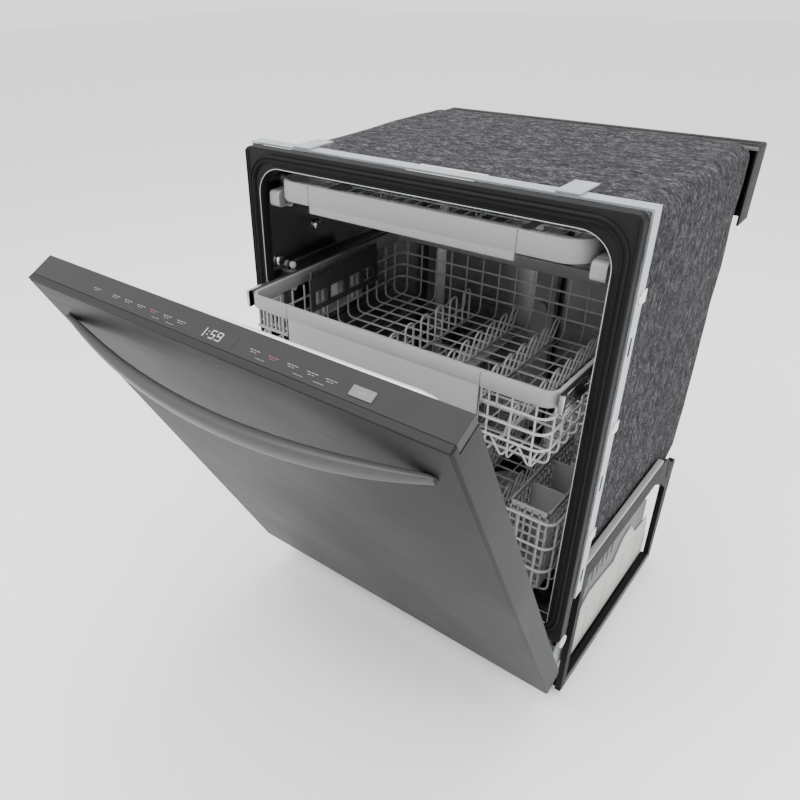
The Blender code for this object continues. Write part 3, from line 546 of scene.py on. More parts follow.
# ---------------------------------------------------------------- cabinet: tub and frame
def frame_with_ribs():
    """The black frame round the mouth, with grooves down both posts, and its seal."""
    outer = rounded_rectangle((-0.295, 0.150), (0.295, 0.801), 0.010)
    mouth = rounded_rectangle((-0.270, 0.180), (0.270, 0.775), 0.042, 10, foot_radius=0.001)
    body = plate("frame_body", [outer, mouth], "Y", 0.0052, 0.022, 0.0008)
    ribs = []
    for _, side in BOTH_SIDES:
        for x in (0.2895, 0.2935):
            ribs.append(((side * x - 0.0009, 0.0040, 0.156), (side * x + 0.0009, 0.0058, 0.796)))
        ribs.append(((side * 0.2725 - 0.0011, 0.0040, 0.190), (side * 0.2725 + 0.0011, 0.0058, 0.733)))
    for z in (0.7780, 0.7965):
        ribs.append(((-0.240, 0.0040, z - 0.0009), (0.240, 0.0058, z + 0.0009)))
    body = joined("ribbed_frame", [body, blocks("frame_ribs", ribs, 0.0004)])
    fixed(body, "frame", "front_frame")

    path_out = rounded_rectangle((-0.288, 0.155), (0.288, 0.794), 0.045, 10)
    path_in = rounded_rectangle((-0.277, 0.169), (0.277, 0.783), 0.035, 10)
    section = [(0.0, 0.0), (0.16, 1.0), (0.28, 1.0), (0.40, 0.45), (0.52, 0.45), (0.64, 1.0),
               (0.80, 1.0), (1.0, 0.0)]
    rings = []
    for (x0, z0), (x1, z1) in zip(path_out, path_in):
        rings.append([(x0 + (x1 - x0) * t, 0.0038 - 0.0033 * lift, z0 + (z1 - z0) * t)
                      for t, lift in section])
    fixed(loft("seal_ring", rings, closed=True), "rubber", "door_gasket")

    edge = [(x, 0.0046, z) for x, z in rounded_rectangle((-0.2704, 0.1796), (0.2704, 0.7754), 0.0424, 10,
                                                         foot_radius=0.0014)]
    fixed(wires("tub_edge", [edge], 0.0007, closed=True), "zinc")


def tub_details():
    """Pressed beads on the tub's walls, roller studs for the rails and white guide rollers."""
    beads = []
    for _, side in BOTH_SIDES:
        for z in (0.330, 0.400, 0.470):
            x = side * 0.2703
            beads.append([(x, 0.070, z), (x, 0.440, z)])
    for z in (0.300, 0.420, 0.540, 0.660):
        for x in (-0.150, 0.150):
            beads.append([(x - 0.080, 0.4885, z), (x + 0.080, 0.4885, z)])
    for x in (-0.14, 0.0, 0.14):
        beads.append([(x, 0.060, 0.7744), (x, 0.430, 0.7744)])
    fixed(wires("tub_beads", beads, 0.0015, sides=3), "tub")

    studs = []
    for _, side in BOTH_SIDES:
        x = side * 0.2700
        for y, z in ((0.036, 0.620), (0.130, 0.655)):
            turn = -side
            studs.append(lathe("stud", (x, y, z), [(0.0, turn * 0.0050), (0.0065, turn * 0.0042),
                                                   (0.0085, turn * 0.0020), (0.0088, -turn * 0.001),
                                                   (0.0, -turn * 0.001)], "X", 24))
    fixed(joined("tub_studs", studs), "stainless")
    rollers = []
    for _, side in BOTH_SIDES:
        for y, z in ((0.062, 0.6055), (0.062, 0.5665), (0.064, 0.7430), (0.064, 0.7070)):
            rollers.append(lathe("roller", (side * 0.2665, y, z),
                                 [(0.0, 0.0035), (0.0040, 0.0035), (0.0052, 0.0028), (0.0052, -0.0028),
                                  (0.0040, -0.0035), (0.0, -0.0035)], "X", 20))
    fixed(joined("guide_rollers", rollers), "white")


def flange_clips():
    """White plastic clips on the steel band at both sides, and black plates in its slots as painted shade."""
    clips, slots = [], []
    for _, side in BOTH_SIDES:
        x0, x1 = sided(side, 0.2982, 0.2996)
        for z in (0.345, 0.523, 0.700):
            clips.append(((x0, 0.0330, z - 0.008), (x1, 0.0500, z + 0.008)))
            clips.append(((x0 - 0.0004, 0.0270, z - 0.0035), (x1, 0.0340, z + 0.0035)))
        # Black plates in the slots: painted shade where the openings look dark.
        for z in (0.275, 0.440, 0.640):
            outer = x1 - 0.0010 if side > 0 else x1
            slots.append(((x0 - 0.0002, 0.0300, z - 0.012), (outer, 0.0345, z + 0.012)))
    fixed(blocks("flange_clips", clips, 0.0005), "white")
    fixed(blocks("flange_slot_shades", slots, 0.0001, 1), "black")


def felt_blanket():
    """The sound blanket: thick felt that bulges a little but never dents as far as the tub wall."""
    half, front, back, low, high = 0.2835, 0.048, 0.5010, 0.235, 0.7875
    deepest = -0.0015
    bm = hood((-half, front, low), (half, back, high), 0.024, 5)
    for _ in range(4):
        long_edges = [e for e in bm.edges if e.calc_length() > 0.011]
        if long_edges:
            bmesh.ops.subdivide_edges(bm, edges=long_edges, cuts=1, use_grid_fill=True)
    bmesh.ops.bisect_plane(bm, geom=bm.verts[:] + bm.edges[:] + bm.faces[:], dist=0.00001,
                           plane_co=(0.0, back - 0.046, low), plane_no=(0.0, 0.64, -0.77),
                           clear_outer=True)
    bm.normal_update()
    moved = {}
    for vertex in bm.verts:
        place = vertex.co
        wave = noise.noise(place * 9.0) * 0.0016 + noise.noise(place * 23.0) * 0.0010
        crease = abs(noise.noise(Vector((place.x * 5.0, place.y * 3.0, place.z * 7.0))))
        fuzz = noise.noise(place * 120.0) * 0.0004
        along = min(1.0, (place.y - front) / 0.03)
        moved[vertex] = max(deepest, wave + fuzz - 0.0022 * max(0.0, 0.10 - crease) * 10.0) * along
    for vertex, amount in moved.items():
        vertex.co += vertex.normal * amount
    blanket = thickened(object_from("felt_blanket", bm), 0.0078, -1.0)
    fixed(blanket, "felt", "sound_blanket")

    label = block("blank_label", (-0.045, 0.052, 0.7893), (0.060, 0.098, 0.7897), 0.0001, 1)
    fixed(label, "label")


def bumper():
    """The channel across the top of the back, with beads along it and its front flange."""
    bm = hood((-0.286, 0.509, 0.657), (0.286, 0.567, 0.776), 0.004, 3)
    shell = thickened(object_from("bumper_shell", bm), 0.003)
    beads = [((-0.280, y - 0.0012, 0.7745), (0.280, y + 0.0012, 0.7766)) for y in (0.530, 0.548)]
    ribs = [((x - 0.001, 0.511, 0.658), (x + 0.001, 0.565, 0.7735)) for x in spread(-0.24, 0.24, 9)]
    bosses = [((side * 0.151 - 0.011, 0.5035, 0.690), (side * 0.151 + 0.011, 0.5655, 0.750))
              for _, side in BOTH_SIDES]
    whole = joined("bumper_channel", [shell, blocks("bumper_beads", beads, 0.0007),
                                      blocks("bumper_ribs", ribs, 0.0004, 1),
                                      blocks("bumper_bosses", bosses, 0.002)])
    fixed(whole, "black", "rear_bumper")
    flange = block("bumper_flange", (-0.286, 0.5065, 0.7725), (0.286, 0.5105, 0.7768), 0.0006)
    fixed(flange, "slate")


# ---------------------------------------------------------------- cabinet: base
def flattened(value, power):
    """A sine or cosine raised to a power with its sign kept, for a squarer oval."""
    return math.copysign(abs(value) ** power, value)


def helix(y0, y1, x, z, radius, turns, steps=14):
    """Points of a coil along Y."""
    points = []
    for i in range(turns * steps + 1):
        angle = math.tau * i / steps
        y = y0 + (y1 - y0) * i / (turns * steps)
        points.append((x + radius * math.cos(angle), y, z + radius * math.sin(angle)))
    return points


def springs_and_feet():
    """The coiled door springs with their hooks, and the threaded feet."""
    for name, side in BOTH_SIDES:
        x = side * 0.2715
        coil = helix(0.146, 0.284, x, 0.105, 0.0074, 34)
        front = [(x, 0.118, 0.1085), (x, 0.119, 0.1035), (x, 0.124, 0.1025), (x, 0.130, 0.105),
                 (x, 0.142, 0.105)]
        back = [(x, 0.288, 0.105), (x, 0.300, 0.105), (x, 0.306, 0.1025), (x, 0.311, 0.1035),
                (x, 0.312, 0.1085)]
        spring = wires(f"spring_{name}", [front + coil + back], 0.0013, bend=0.0)
        fixed(spring, "zinc", f"door_spring_{name}")

        thread = [(0.0, 0.062), (0.0042, 0.062)]
        height = 0.0605
        while height > 0.014:
            thread += [(0.0050, height), (0.0044, height - 0.0008)]
            height -= 0.0016
        foot = thread + [(0.0050, 0.0125), (0.0085, 0.0122), (0.0085, 0.0085), (0.0125, 0.0070),
                         (0.0176, 0.0034), (0.0180, 0.0026), (0.0180, 0.0006), (0.0174, 0.0),
                         (0.0, 0.0)]
        for end, y in (("front", 0.100), ("back", 0.400)):
            leg = lathe(f"foot_{end}_{name}", (side * 0.268, y, -BASE_Z), foot, steps=32)
            put(leg, CABINET, f"leveling_leg_{end}_{name}", "black", f"leveling_leg_{end}_{name}")


def base_covers():
    """Light strips, rear brackets, pale covers and their backing at both sides of the base."""
    for name, side in BOTH_SIDES:
        x0, x1 = sided(side, 0.2880, 0.2975)
        strip = block(f"base_strip_{name}", (x0, 0.050, 0.2782), (x1, 0.368, 0.2845), 0.0012)
        fixed(strip, "grey")
        bracket = plate(f"base_rear_bracket_{name}",
                        [[(0.4120, 0.222), (0.4500, 0.205)] + arc((0.4390, 0.232), 0.0135, -20, 120, 10)
                         + [(0.4020, 0.2640)]],
                        "X", *sided(side, 0.2890, 0.2988), 0.0010)
        fixed(bracket, "black")
        cover = [(0.086, 0.016), (0.432, 0.016), (0.437, 0.050), (0.412, 0.122), (0.350, 0.128),
                 (0.314, 0.166), (0.280, 0.160), (0.250, 0.128), (0.205, 0.135), (0.145, 0.141),
                 (0.086, 0.112)]
        x0, x1 = sided(side, 0.2817, 0.2842)
        sheet = plate(f"base_cover_{name}", [cover], "X", x0, x1, 0.0008)
        x0, x1 = sided(side, 0.2838, 0.2850)
        folds = [((x0, y, 0.022), (x1, y + 0.0024, 0.108)) for y in (0.150, 0.222, 0.300, 0.372)]
        fixed(joined(f"base_cover_{name}", [sheet, blocks("cover_folds", folds, 0.0005)]), "pale")
        backing = [(0.112, 0.100), (0.400, 0.100), (0.392, 0.175), (0.334, 0.210), (0.240, 0.2350),
                   (0.112, 0.2350)]
        x0, x1 = sided(side, 0.2800, 0.2814)
        fixed(plate(f"base_backing_{name}", [backing], "X", x0, x1, 0.0005), "slate")
        x0, x1 = sided(side, 0.2978, 0.2986)
        line = block(f"base_line_{name}", (x0, 0.060, 0.0095), (x1, 0.440, 0.0125), 0.0003)
        fixed(line, "mid_grey")


def hinge_rollers():
    """The white rollers and the ends of the hinge pins."""
    for name, side in BOTH_SIDES:
        roller = lathe(f"hinge_roller_{name}", (side * 0.2900, 0.0300, 0.132),
                       [(0.0, 0.0035), (0.0050, 0.0035), (0.0052, 0.0026), (0.0105, 0.0026),
                        (0.0110, 0.0018), (0.0110, -0.0018), (0.0105, -0.0026), (0.0, -0.0026)], "X", 32)
        fixed(roller, "white")
        pin = lathe(f"hinge_pin_{name}", (side * 0.2865, HINGE.y - SEAL_Y, HINGE.z - BASE_Z),
                    [(0.0, 0.0012), (0.0048, 0.0010), (0.0056, 0.0002), (0.0056, -0.0008), (0.0, -0.0008)],
                    "X", 24)
        fixed(pin, "zinc")


def wiring_box():
    """The ribbed slate plate beside the tub, at the right only."""
    box_shell = block("wiring_box", (0.2745, 0.112, 0.158), (0.279, 0.240, 0.2300), 0.0015)
    ribs = blocks("wiring_box_ribs", [((0.2812, y, 0.165), (0.2826, y + 0.0022, 0.228))
                                      for y in spread(0.126, 0.226, 6)], 0.0003)
    fixed(joined("wiring_box", [box_shell, ribs]), "slate")


def pan_and_pump():
    """The rim and ribs of the drip pan, and the wash pump's windings."""
    rims = []
    for _, side in BOTH_SIDES:
        x0, x1 = sided(side, 0.2520, 0.2590)
        rims.append(((x0, 0.090, 0.146), (x1, 0.436, 0.151)))
    rims += [((-0.250, 0.4375, 0.146), (0.250, 0.4440, 0.151))]
    rims += [((side * 0.2549 - 0.0006, y - 0.0015, 0.020), (side * 0.2549 + 0.0016, y + 0.0015, 0.146))
             for side in (-1, 1) for y in spread(0.130, 0.400, 7)]
    fixed(blocks("drip_pan_rim", rims, 0.0008), "pale")

    windings = [lathe("winding", (x, 0.300, 0.062), [(0.0425, -0.002), (0.0448, -0.001), (0.0448, 0.001),
                                                      (0.0425, 0.002)], "X", 32)
                for x in spread(-0.212, -0.148, 6)]
    fixed(joined("wash_pump_fins", windings), "pump")


# ---------------------------------------------------------------- wash parts
def blade(name, place, y, half_length, low, high, body, node):
    """A spray arm: a tapered blade on a hub, with its jets."""
    rings = []
    for i in range(25):
        t = -1.0 + 2.0 * i / 24
        half_width = 0.0105 + 0.0115 * math.sqrt(max(0.0, 1.0 - t * t))
        half_height = (high - low) / 2 * (0.55 + 0.30 * (1.0 - t * t))
        middle = (low + high) / 2
        ring = []
        for a in [math.tau * k / 20 for k in range(20)]:
            c, s = math.cos(a), math.sin(a)
            ring.append((half_width * flattened(c, 0.75), y + t * half_length,
                         middle + half_height * flattened(s, 0.8)))
        rings.append(ring)
    arm = loft(name + "_blade", rings)
    middle = (low + high) / 2
    hub_height = (high - low) / 2 + 0.0003
    hub = lathe(name + "_hub", (0.0, y, middle),
                [(0.0, hub_height), (0.010, hub_height), (0.012, hub_height - 0.002),
                 (0.022, hub_height - 0.003), (0.0238, hub_height - 0.0055),
                 (0.0238, -hub_height + 0.003), (0.022, -hub_height), (0.0, -hub_height)], steps=36)
    put(joined(name, [arm, hub]), place, body, "grey", node)
    jets = []
    for i, t in enumerate((-0.92, -0.74, -0.56, -0.36, 0.30, 0.50, 0.68, 0.86)):
        top = middle + (high - low) / 2 * (0.55 + 0.30 * (1.0 - t * t))
        jets.append(lathe("jet", (0.004 * (-1) ** i, y + t * half_length, top - 0.0006),
                          [(0.0016, 0.0), (0.0018, 0.0011), (0.0034, 0.0011), (0.0040, 0.0), (0.0016, 0.0)],
                          steps=16))
    put(joined(name + "_jets", jets), place, body, "dark_grey")


# ---------------------------------------------------------------- door
SEGMENTS = {"1": "bc", "5": "afgcd", "9": "abcdfg"}


def digit_bars(text, x, low, width=0.0066, height=0.0104, wide=0.0010):
    """The bars of seven-segment digits, as boxes on the strip's top face."""
    bars = []
    for character in text:
        middle, top, right = low + height / 2, low + height, x + width
        places = {"a": (x, top - wide, right, top), "d": (x, low, right, low + wide),
                  "g": (x, middle - wide / 2, right, middle + wide / 2), "f": (x, middle, x + wide, top),
                  "b": (right - wide, middle, right, top), "c": (right - wide, low, right, middle)}
        if character == ":":
            lit = [(x + 0.001, low + rise, x + 0.0022, low + rise + 0.0012) for rise in (0.0028, 0.0066)]
        else:
            lit = [place for letter, place in places.items() if letter in SEGMENTS[character]]
        bars += [((x0, y0, 0.7351), (x1, y1, 0.7354)) for x0, y0, x1, y1 in lit]
        x += 0.0052 if character == ":" else width + 0.0026
    return bars


def strip_display():
    """Lip and seam along the top edge, and the display with its digits."""
    lip = block("door_lip", (-0.2990, -0.0402, 0.7346), (0.2990, -0.0323, 0.7353), 0.0002, 1)
    put(lip, DOOR, "door", "lip")
    seam = block("strip_seam", (-0.2990, -0.0323, 0.7338), (0.2990, -0.0314, 0.7347), 0.0001, 1)
    put(seam, DOOR, "door", "black")

    glass = plate("display_window", [rounded_rectangle((-0.012, -0.0285), (0.046, -0.0120), 0.0020)],
                  "Z", 0.7350, 0.7352)
    put(glass, DOOR, "door", "strip")
    bars = digit_bars("1:59", -0.0030, -0.0255)
    put(blocks("display_digits", bars, 0.00008, 1), DOOR, "door", "digit")


def strip_marks():
    """Plain short marks in place of lettering, and the mark on the start key."""
    marks, red = [], []
    for i, x in enumerate((-0.185, -0.150, -0.128, -0.106, -0.084, -0.062, -0.040, 0.066, 0.090, 0.114,
                           0.138, 0.160)):
        target = red if i in (4, 8) else marks
        for j, (start, wide) in enumerate(((0.0, 0.0042), (0.0050, 0.0030), (0.0088, 0.0044))):
            target.append(((x + start, -0.0198, 0.7350), (x + start + wide, -0.0190, 0.73515)))
            if j < 2:
                target.append(((x + 0.0022 + start, -0.0221, 0.7350),
                               (x + 0.0022 + start + wide * 0.9, -0.0214, 0.73515)))
    for x in (-0.075, -0.052, 0.078, 0.126, 0.150):
        marks.append(((x, -0.0268, 0.7350), (x + 0.012, -0.0263, 0.73515)))
    for x in (-0.0010, 0.0110, 0.0240):
        marks.append(((x, -0.0408, 0.7130), (x + 0.0012, -0.0404, 0.7142)))
    put(blocks("strip_marks", marks, 0.00005, 1), DOOR, "door", "mark")
    put(blocks("strip_marks_red", red, 0.00005, 1), DOOR, "door", "mark_red")
    key_mark = block("start_mark", (0.1965, -0.0212, 0.7362), (0.2065, -0.0200, 0.73632), 0.00005, 1)
    put(key_mark, DOOR, "start_key", "mark")


def handle_bar():
    """The bowed handle, thicker and further out in the middle."""
    rings = []
    for i in range(73):
        t = -1.0 + 2.0 * i / 72
        rise = 1.0 - t * t
        front = -0.0405 - 0.0050 - 0.044 * rise
        depth = 0.0046 + 0.0135 * math.sqrt(rise)
        height = 0.010 + 0.018 * (1.0 - t ** 4)
        middle = (front + depth / 2, 0.680 - height / 2)
        ring = []
        for k in range(28):
            c, s = math.cos(math.tau * k / 28), math.sin(math.tau * k / 28)
            ring.append((t * 0.272, middle[0] + depth / 2 * flattened(c, 0.7),
                         middle[1] + height / 2 * flattened(s, 0.7)))
        rings.append(ring)
    put(loft("handle_bar", rings), DOOR, "door", "handle", "door_handle")


def inner_panel_details():
    """Beads, the latch opening's painted shade, vent fins and screws of the inner door."""
    beads = [[(x, 0.0283, z) for x, z in rounded_rectangle((-0.215, 0.150), (0.215, 0.655), 0.030)]]
    put(wires("inner_panel_bead", beads, 0.0012, closed=True), DOOR, "door", "inner_door")
    inner_seal = [(x, -0.0150, z) for x, z in rounded_rectangle((-0.262, 0.0905), (0.262, 0.6960), 0.040, 8)]
    put(wires("inner_panel_bead_outer", [inner_seal], 0.0010, closed=True), DOOR, "door", "inner_door")

    # The latch opening is a thin black plate: painted shade standing in for the dark inside of the opening.
    latch_opening_painted_shade = plate("latch_opening_painted_shade", [rounded_rectangle((-0.027, -0.0115), (0.002, 0.0195), 0.003)], "Z",
                       0.6893, 0.6903)
    put(latch_opening_painted_shade, DOOR, "door", "black")

    fins = [((0.165 - 0.027 + 0.0068 * i, 0.0294, 0.538), (0.165 - 0.0245 + 0.0068 * i, 0.0304, 0.582))
            for i in range(8)]
    put(blocks("vent_fins", fins, 0.0004), DOOR, "door", "dark_grey")
    screws = [lathe("screw", (side * 0.2925, -0.0160, z), [(0.0, 0.0012), (0.0015, 0.0010), (0.0018, 0.0016),
                                                       (0.0035, 0.0010), (0.0040, 0.0), (0.0, 0.0)], "Y", 20)
              for side in (-1, 1) for z in (0.120, 0.330, 0.540)]
    put(joined("inner_panel_screws", screws), DOOR, "door", "stainless")


# ---------------------------------------------------------------- racks
RACK_FRONTS = {"upper": -0.053, "third": 0.006, "lower": 0.005}
UPPER, THIRD, LOWER = (CABINET @ Matrix.Translation((0.0, front, 0.0)) for front in RACK_FRONTS.values())
DEPTH = 0.400


def basket_wires(name, place, body, node, half, floor, rim, columns, rows, loops, radius=0.0018):
    """A wire basket: wires both ways over the floor, tied by loops round the sides."""
    front, back, bend = 0.0105, DEPTH - 0.010, 0.012
    across = [[(-half, y, rim), (-half, y, floor), (half, y, floor), (half, y, rim)] for y in rows]
    along = [[(x, front, rim), (x, front, floor), (x, back, floor), (x, back, rim)] for x in columns]
    pieces = [wires(name + "_across", across, radius, bend=bend),
              wires(name + "_along", [[(x, y, z - 0.0020 if z == floor else z) for x, y, z in path]
                                      for path in along], radius * 0.9, bend=bend)]
    ties = [[(x, y, z) for x, y in rounded_rectangle((-half - 0.0012, front - 0.0012),
                                                     (half + 0.0012, back + 0.0012), 0.018, 6)]
            for z in loops]
    pieces.append(wires(name + "_ties", ties, radius * 1.15, closed=True))
    return put(joined(name, pieces), place, body, "wire", node)


def tine_row(x, ys, base, height, lean, radius=0.0017):
    """A row of tines, each a bent wire, on a bar."""
    paths = [[(x, ys[0] - 0.008, base), (x, ys[-1] + 0.008, base)]]
    for first, second in zip(ys[::2], ys[1::2]):
        paths.append([(x, first, base), (x + lean, first, base + height), (x + lean, second, base + height),
                      (x, second, base)])
    return wires("tine_row", paths, radius, bend=0.014)


def rim_with_apron(name, place, body, node, half, low, high, apron_low, wall, radius, more=()):
    """A rack's plastic rim: a rounded rail all round, deeper in the middle of its front."""
    outer = rounded_rectangle((-half, 0.0), (half, DEPTH), radius, 10)
    inner = rounded_rectangle((-half + wall, wall), (half - wall, DEPTH - wall), radius - wall, 10)
    rings = []
    section = [(0.0, 0.06), (0.0, 0.88), (0.14, 1.0), (0.86, 1.0), (1.0, 0.88), (1.0, 0.06), (0.86, 0.0),
               (0.14, 0.0)]
    for (x0, y0), (x1, y1) in zip(outer, inner):
        rings.append([(x0 + (x1 - x0) * t, y0 + (y1 - y0) * t, low + (high - low) * h) for t, h in section])
    rail = loft(name + "_rail", rings, closed=True)
    apron = block(name + "_apron", (-0.174, 0.0006, apron_low), (0.153, wall - 0.0006, low + 0.004), 0.0015)
    put(joined(name, [rail, apron, *more]), place, body, "grey", node)
    seams = [((x - 0.0004, -0.0002, apron_low + 0.0008), (x + 0.0004, 0.0010, high - 0.0005))
             for x in (-0.1745, 0.1535)]
    put(blocks(name + "_seams", seams, 0.0001, 1), place, body, "dark_grey")


def upper_rack():
    """The upper rack: rim with its grille, fine wires, tines, cup shelf and side guides."""
    half = 0.2545
    ledge = block("upper_ledge", (-0.2200, 0.0010, 0.5745), (0.2200, 0.0062, 0.5790), 0.0010)
    grille = [((-0.236 + 0.0082 * i, 0.0016, 0.548), (-0.2330 + 0.0082 * i, 0.0050, 0.577)) for i in range(8)]
    grille.append(((-0.240, 0.0016, 0.5455), (-0.174, 0.0050, 0.5500)))
    grille += [((0.155 + 0.0110 * i, 0.0016, 0.5560), (0.1572 + 0.0110 * i, 0.0050, 0.577)) for i in range(3)]
    rim_with_apron("upper_rim", UPPER, "upper_rack", "upper_rack_rim", half, 0.576, 0.597, 0.505, 0.0070, 0.021,
                   (ledge, blocks("upper_grille", grille, 0.0005)))
    basket_wires("upper_wires", UPPER, "upper_rack", "upper_rack_basket", 0.244, 0.478, 0.5755,
                 spread(-0.228, 0.228, 15), spread(0.030, 0.370, 13), (0.506, 0.530, 0.553), 0.0016)
    zigzag = [(x, 0.0125, 0.4775 if i % 2 else 0.506) for i, x in enumerate(spread(-0.226, 0.226, 24))]
    feet = [(-0.236, 0.0135, 0.506)] + zigzag + [(0.236, 0.0135, 0.506)]
    put(wires("upper_feet", [feet], 0.0015, bend=0.006), UPPER, "upper_rack", "wire")
    tines = [tine_row(x, spread(0.050, 0.350, 16), 0.4815, 0.048, lean)
             for x, lean in ((0.020, 0.010), (0.095, 0.010), (0.170, 0.010))]
    put(joined("upper_fixed_tines", tines), UPPER, "upper_rack", "wire")
    fold = tine_row(-0.060, spread(0.060, 0.340, 14), 0.4832, 0.058, 0.0)
    put(fold, UPPER, "upper_tines", "wire", "upper_tines")

    low, high = 0.535, 0.606
    comb_teeth = [((-0.2242, y, high - 0.014), (-0.2198, y + 0.0028, high)) for y in spread(0.108, 0.279, 30)]
    bars = [((-0.2236, 0.105, high - 0.036), (-0.2204, 0.285, high - 0.012)),
            ((-0.2240, 0.105, high - 0.038), (-0.2200, 0.285, high - 0.034)),
            ((-0.2240, 0.105, low), (-0.2200, 0.285, low + 0.008))]
    posts = [((-0.2238, y, low + 0.004), (-0.2202, y + wide, high - 0.034))
             for y, wide in ((0.105, 0.012), (0.146, 0.009), (0.190, 0.014), (0.236, 0.009), (0.273, 0.012))]
    put(blocks("cup_comb", comb_teeth + bars + posts, 0.0005), UPPER, "cup_shelf", "dark_grey", "cup_shelf")

    panels, levers = [], []
    for _, side in BOTH_SIDES:
        x0, x1 = sided(side, 0.2466, 0.2530)
        panels.append(((x0, 0.135, 0.500), (x1, 0.275, 0.5755)))
        panels.append(((x0, 0.040, 0.548), (x1, 0.070, 0.5755)))
        x0, x1 = sided(side, 0.2448, 0.2468)
        levers.append(((x0, 0.185, 0.520), (x1, 0.225, 0.568)))
        levers += [((x0, y, 0.508), (x1, y + 0.006, 0.560)) for y in (0.145, 0.160, 0.240, 0.255)]
    put(blocks("upper_side_panels", panels, 0.0020, 3), UPPER, "upper_rack", "grey")
    put(blocks("upper_side_levers", levers, 0.0008), UPPER, "upper_rack", "white")


def rail_profiles():
    """The sliding rails: a web between two lips, with a rounded stop at the front."""
    for name, side in BOTH_SIDES:
        x0, x1 = sided(side, 0.2560, 0.2620)
        inner = sided(side, 0.2560, 0.2578)
        parts = [((x0, 0.003, 0.5730), (x1, 0.400, 0.5752)), ((x0, 0.003, 0.5968), (x1, 0.400, 0.5990)),
                 ((inner[0], 0.003, 0.5735), (inner[1], 0.400, 0.5985)),
                 ((x0, 0.003, 0.5730), (x1, 0.012, 0.5990)), ((x0, 0.388, 0.5730), (x1, 0.400, 0.5990))]
        put(blocks(f"upper_rail_profile_{name}", parts, 0.0006), UPPER, "upper_rails", "stainless",
            f"upper_rail_{name}")
        x0, x1 = sided(side, 0.2425, 0.2620)
        web = sided(side, 0.2500, 0.2530)
        parts = [((x0, 0.022, 0.7140), (x1, 0.400, 0.7170)), ((x0, 0.022, 0.7355), (x1, 0.400, 0.7385)),
                 ((web[0], 0.022, 0.7150), (web[1], 0.400, 0.7375))]
        parts += [((x0, y, 0.7150), (x1, y + 0.0022, 0.7375)) for y in spread(0.030, 0.396, 9)]
        stop = plate(f"third_rail_stop_{name}",
                     [[(0.024, 0.7140), (0.024, 0.7385)] + arc((0.0165, 0.7320), 0.0065, 90, 180, 6)
                      + [(0.0100, 0.7205)] + arc((0.0165, 0.7205), 0.0065, 180, 270, 6)],
                     "X", x0, x1, 0.0010)
        put(joined(f"third_rail_profile_{name}", [blocks("third_rail_parts", parts, 0.0005), stop]), THIRD,
            "third_rails", "grey", f"third_rail_{name}")


def third_rack():
    """The third rack: a shallow tray with a fine mesh floor in a plastic rim."""
    half = 0.241
    rim_with_apron("third_rim", THIRD, "third_rack", "third_rack_tray", half, 0.731, 0.760, 0.720, 0.0070,
                   0.035)
    inset = 0.005
    along = [[(x, inset, 0.7450), (x, DEPTH - inset, 0.7450)] for x in spread(-0.224, 0.224, 24)]
    across = [[(-half + inset, y, 0.7466), (half - inset, y, 0.7466)] for y in spread(0.022, 0.378, 15)]
    combs = []
    for x in (-0.075, 0.075):
        for y in spread(0.040, 0.360, 28):
            combs.append([(x, y, 0.7466), (x, y + 0.001, 0.7560)])
    pieces = [wires("tray_along", along, 0.0013), wires("tray_across", across, 0.0013),
              wires("tray_combs", combs, 0.0011)]
    put(joined("third_wires", pieces), THIRD, "third_rack", "wire")
    dividers = [((x - 0.0010, 0.010, 0.7475), (x + 0.0010, 0.390, 0.7575)) for x in (-0.150, 0.150)]
    put(blocks("third_dividers", dividers, 0.0006), THIRD, "third_rack", "mid_grey")


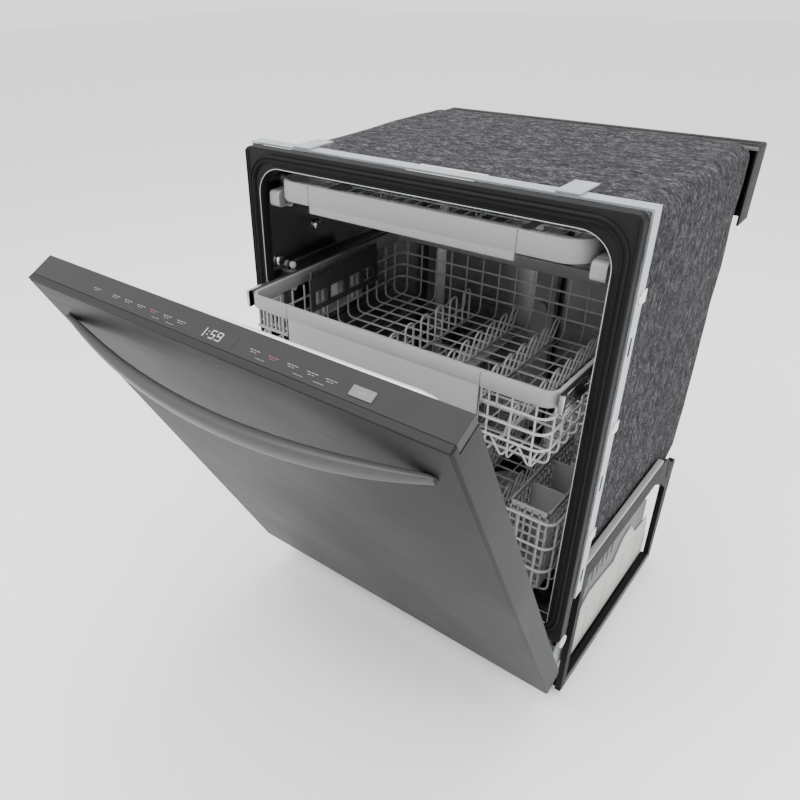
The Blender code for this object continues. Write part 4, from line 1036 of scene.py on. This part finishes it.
def lower_rack():
    """The lower rack: fine wires, tines, wheels with their brackets, and the cutlery basket."""
    basket_wires("lower_wires", LOWER, "lower_rack", "lower_rack_basket", 0.252, 0.2125, 0.352,
                 spread(-0.232, 0.232, 15), spread(0.028, 0.372, 14), (0.2600, 0.3040, 0.3500), 0.0018)
    fixed = [tine_row(x, spread(0.045, 0.355, 16), 0.2168, 0.070, 0.012) for x in (-0.155, 0.030, 0.110)]
    put(joined("lower_fixed_tines", fixed), LOWER, "lower_rack", "wire")
    put(tine_row(-0.0633, spread(0.060, 0.340, 14), 0.2177, 0.080, 0.0), LOWER, "lower_tines", "wire",
        "lower_tines")

    brackets = []
    for _, side in BOTH_SIDES:
        x0, x1 = sided(side, 0.2535, 0.2565)
        for y in (0.080, 0.330):
            brackets.append(((x0, y - 0.030, 0.2240), (x1, y + 0.030, 0.2560)))
            brackets.append(((x0, y - 0.008, 0.1990), (x1, y + 0.008, 0.2250)))
    put(blocks("wheel_brackets", brackets, 0.0012), LOWER, "lower_rack", "grey")
    for end, y in (("front", 0.080), ("back", 0.330)):
        for name, side in BOTH_SIDES:
            profile = [(0.0, 0.0040), (0.0035, 0.0040), (0.0042, 0.0030), (0.0125, 0.0018), (0.0138, 0.0042),
                       (0.0172, 0.0042), (0.0180, 0.0034), (0.0180, -0.0034), (0.0172, -0.0042),
                       (0.0138, -0.0042), (0.0125, -0.0018), (0.0042, -0.0030), (0.0, -0.0040)]
            wheel = lathe("wheel_disc", (side * 0.2628, y, 0.2015), profile, "X", 40)
            spokes = []
            for i in range(6):
                spoke = blocks("wheel_spoke", [((-0.0028, -0.0007, 0.004), (0.0028, 0.0007, 0.0138))], 0.0003)
                spoke.data.transform(Matrix.Translation((side * 0.2628, y, 0.2015))
                                     @ Matrix.Rotation(math.tau * i / 6, 4, "X"))
                spokes.append(spoke)
            node = f"rack_wheel_{end}_{name}"
            put(joined(f"wheel_{end}_{name}", [wheel, *spokes]), LOWER, node, "grey", node)

    left, right, front, back, low, high = 0.180, 0.2415, 0.016, 0.230, 0.2195, 0.364
    slats = [((left, front, low), (right, back, low + 0.003)),
             ((left, front, high - 0.009), (left + 0.003, back, high)),
             ((right - 0.003, front, high - 0.009), (right, back, high)),
             ((left, front, high - 0.009), (right, front + 0.003, high)),
             ((left, back - 0.003, high - 0.009), (right, back, high))]
    for z in spread(low + 0.010, high - 0.020, 8):
        slats += [((left + 0.0004, front + 0.0004, z), (left + 0.0022, back - 0.0004, z + 0.0040)),
                  ((right - 0.0022, front + 0.0004, z), (right - 0.0004, back - 0.0004, z + 0.0040)),
                  ((left + 0.0004, front + 0.0004, z), (right - 0.0004, front + 0.0022, z + 0.0040)),
                  ((left + 0.0004, back - 0.0022, z), (right - 0.0004, back - 0.0004, z + 0.0040))]
    for y in spread(front + 0.001, back - 0.004, 17):
        for x in (left, right - 0.0026):
            slats.append(((x, y, low), (x + 0.0026, y + 0.003, high - 0.004)))
    for x in spread(left + 0.001, right - 0.004, 6):
        for y in (front, back - 0.0026):
            slats.append(((x, y, low), (x + 0.003, y + 0.0026, high - 0.004)))
    for y in spread(front, back, 4)[1:-1]:
        slats.append(((left + 0.001, y - 0.001, low + 0.001), (right - 0.001, y + 0.001, high - 0.012)))
    put(blocks("cutlery_holder", slats, 0.0005, 1), LOWER, "cutlery_basket", "grey", "cutlery_basket")


frame_with_ribs()
tub_details()
flange_clips()
felt_blanket()
bumper()
springs_and_feet()
base_covers()
hinge_rollers()
wiring_box()
pan_and_pump()
blade("lower_arm", CABINET, 0.265, 0.185, 0.1895, 0.2025, "lower_spray_arm", "lower_spray_arm")
blade("upper_arm", UPPER, DEPTH / 2, 0.175, 0.452, 0.4645, "upper_spray_arm", "upper_spray_arm")
strip_display()
strip_marks()
handle_bar()
inner_panel_details()
upper_rack()
rail_profiles()
third_rack()
lower_rack()
